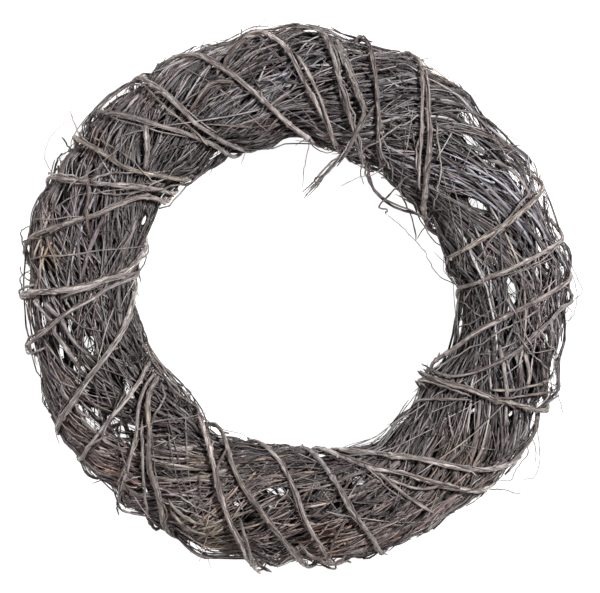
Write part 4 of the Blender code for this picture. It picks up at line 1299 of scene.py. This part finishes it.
# Open nets of long thin twigs and short cross ones, which stand off the ring's edges in places.
edgeNets = {
    "seed": 97,
    "sides": 4,
    "longRadius": (0.45, 0.8),
    "crossRadius": (0.3, 0.5),
    "crossLength": (6, 15),
    "crossSlant": (25, 155),    # degrees off the ring
    "crossStations": 5,
    "ringReach": 0.15,      # metres round which the cross twigs bend, along the ring and round the body
    "bodyReach": 0.036,
    "sunk": 1.2,            # millimetres that the cross twigs lie in the surface, and the long ones' ends
    "endsSunk": 3.0,
    "tones": ("dark", "dark", "brown", "grey"),
    "places": [  # first and last ring angle, section, how far it stands off (mm), long twigs, cross twigs
        (189, 238, 172, 8.0, 8, 70),
        (200, 226, 170, 7.0, 2, 50),
        (118, 150, 12, 4.5, 6, 40),
        (56, 78, 160, 3.0, 3, 10),
        (-5, 40, 14, 3.0, 2, 24),
        (-62, -25, 12, 2.0, 2, 22),
        (-118, -88, 165, 2.5, 3, 16),
        (150, 200, 10, 2.0, 1, 12),
        (-150, -100, 8, 2.5, 1, 10),
        (20, 50, 172, 3.0, 3, 14),
        (85, 118, 12, 1.2, 2, 8),
    ],
}


def makeEdgeNets(material):
    look = edgeNets
    dice = np.random.default_rng(look["seed"])
    piece = Piece("edge_nets")
    for first, last, section, stand, longCount, crossCount in look["places"]:
        for _ in range(longCount):
            begin = first + (last - first) * dice.uniform(0, 0.35)
            end = last - (last - first) * dice.uniform(0, 0.35)
            stations = max(9, int(abs(end - begin) / 3))
            share = np.linspace(0, 1, stations)
            angles = begin + (end - begin) * share
            drift = np.cumsum(dice.normal(0, 2.2, stations))
            sections = section + dice.uniform(-22, 22) + drift - drift.mean()
            height = stand * np.sin(share * math.pi) ** 0.5 * dice.uniform(0.45, 1)
            height = height + dice.normal(0, 0.35, stations)
            height[[0, -1]] = -look["endsSunk"]
            centres, out = bodyPoint(angles, sections, height * mm)
            radius = dice.uniform(*look["longRadius"])
            oneTwig(piece, dice, centres, out, radius, dice.choice(look["tones"]), look["sides"])
        angle = dice.uniform(first + 2, last - 2, crossCount)
        place = section + dice.uniform(-20, 20, crossCount)
        near = np.sin((angle - first) / (last - first) * math.pi) ** 0.6
        share = np.linspace(0, 1, look["crossStations"])
        span = (dice.uniform(*look["crossLength"], crossCount) * mm)[:, None] * (share - 0.5)
        slant = np.radians(dice.uniform(*look["crossSlant"], crossCount))[:, None]
        angles = angle[:, None] + np.degrees(span * np.cos(slant) / look["ringReach"])
        sections = place[:, None] + np.degrees(span * np.sin(slant) / look["bodyReach"])
        height = (stand * near * dice.uniform(0.1, 0.95, crossCount))[:, None] * np.sin(share * math.pi)
        height = height - look["sunk"] + dice.normal(0, 0.3, height.shape)
        centres, out = bodyPoint(angles, sections, height * mm)
        radius = dice.uniform(*look["crossRadius"], crossCount) * mm
        base = np.array([barkTones[dice.choice(look["tones"])] for _ in range(crossCount)])
        piece.add(centres, out, twigRadii(dice, radius, len(share)),
                  twigTones(dice, base, len(share), 1.1), look["sides"], dice)
    return piece.make(material)


def caneFronts():
    # The canes' middle lines on the front, for the vines that pass over them.
    runs = []
    for number, radiusMm in enumerate(canes["radiiMm"]):
        for turn in range(canes["turns"] + 1):
            start = 360 * (canes["turns"] * number + turn)
            sections = np.arange(-10, 191, 4.0) + start
            angles = np.array([caneAngle(section) for section in sections])
            runs.append((bodyPoint(angles, sections, radiusMm * mm)[0], radiusMm * mm))
    return runs


caneRuns = caneFronts()
cinchHeights = cinchTable()
twigBark = barkMaterial("twigBark", twigs["bark"])
caneBark = barkMaterial("caneBark", canes["bark"])
roughBark = barkMaterial("roughBark", brokenCane["bark"])
triangles = makeTwigs(twigBark)
print("twigs laid")
triangles += makeCanes(caneBark)
triangles += makeBrokenCane(roughBark)
print("canes wound")
triangles += makeThinVines(caneBark)
triangles += makeLooseEnds(twigBark)
triangles += makeEdgeNets(twigBark)
print("loose pieces added,", triangles, "triangles in all")


# Studio: a white floor, a dim room, a small lamp above on the right and a weak one low on the left.
studio = {
    "floorSize": 6.0,
    "floorColour": (0.40, 0.40, 0.40),
    "floorGlow": 0.97,
    "roomColour": (1.0, 0.80, 0.84),
    "roomStrength": 0.09,
    "lamps": [  # place, size and strength
        ((1.25, 0.65, 2.1), 0.28, 73),
        ((-1.8, 0.15, 1.1), 0.5, 16),
    ],
}


def makeStudio():
    mesh = bpy.data.meshes.new("floor")
    half = studio["floorSize"] / 2
    corners = [(-half, -half, 0), (half, -half, 0), (half, half, 0), (-half, half, 0)]
    mesh.from_pydata(corners, [], [(0, 1, 2, 3)])
    floor = bpy.data.objects.new("floor", mesh)
    floor.location.z = -0.0002
    material = bpy.data.materials.new("paleFloor")
    material.use_nodes = True
    shader = material.node_tree.nodes["Principled BSDF"]
    shader.inputs["Base Color"].default_value = (*studio["floorColour"], 1)
    shader.inputs["Roughness"].default_value = 0.9
    shader.inputs["Emission Color"].default_value = (1, 1, 1, 1)
    shader.inputs["Emission Strength"].default_value = studio["floorGlow"]
    mesh.materials.append(material)
    bpy.context.scene.collection.objects.link(floor)
    world = bpy.data.worlds.new("room")
    world.use_nodes = True
    room = world.node_tree.nodes["Background"]
    room.inputs["Color"].default_value = (*studio["roomColour"], 1)
    room.inputs["Strength"].default_value = studio["roomStrength"]
    bpy.context.scene.world = world
    for place, size, strength in studio["lamps"]:
        data = bpy.data.lights.new("softLamp", "AREA")
        data.shape = "DISK"
        data.size = size
        data.energy = strength
        lamp = bpy.data.objects.new("softLamp", data)
        lamp.location = place
        x, y, z = place     # the lamp looks at the ring's middle
        lamp.rotation_euler = (math.acos(z / math.hypot(x, y, z)), 0, math.atan2(y, x) + math.pi / 2)
        bpy.context.scene.collection.objects.link(lamp)
    bpy.context.scene.view_settings.view_transform = "Standard"


makeStudio()
print("studio lit")
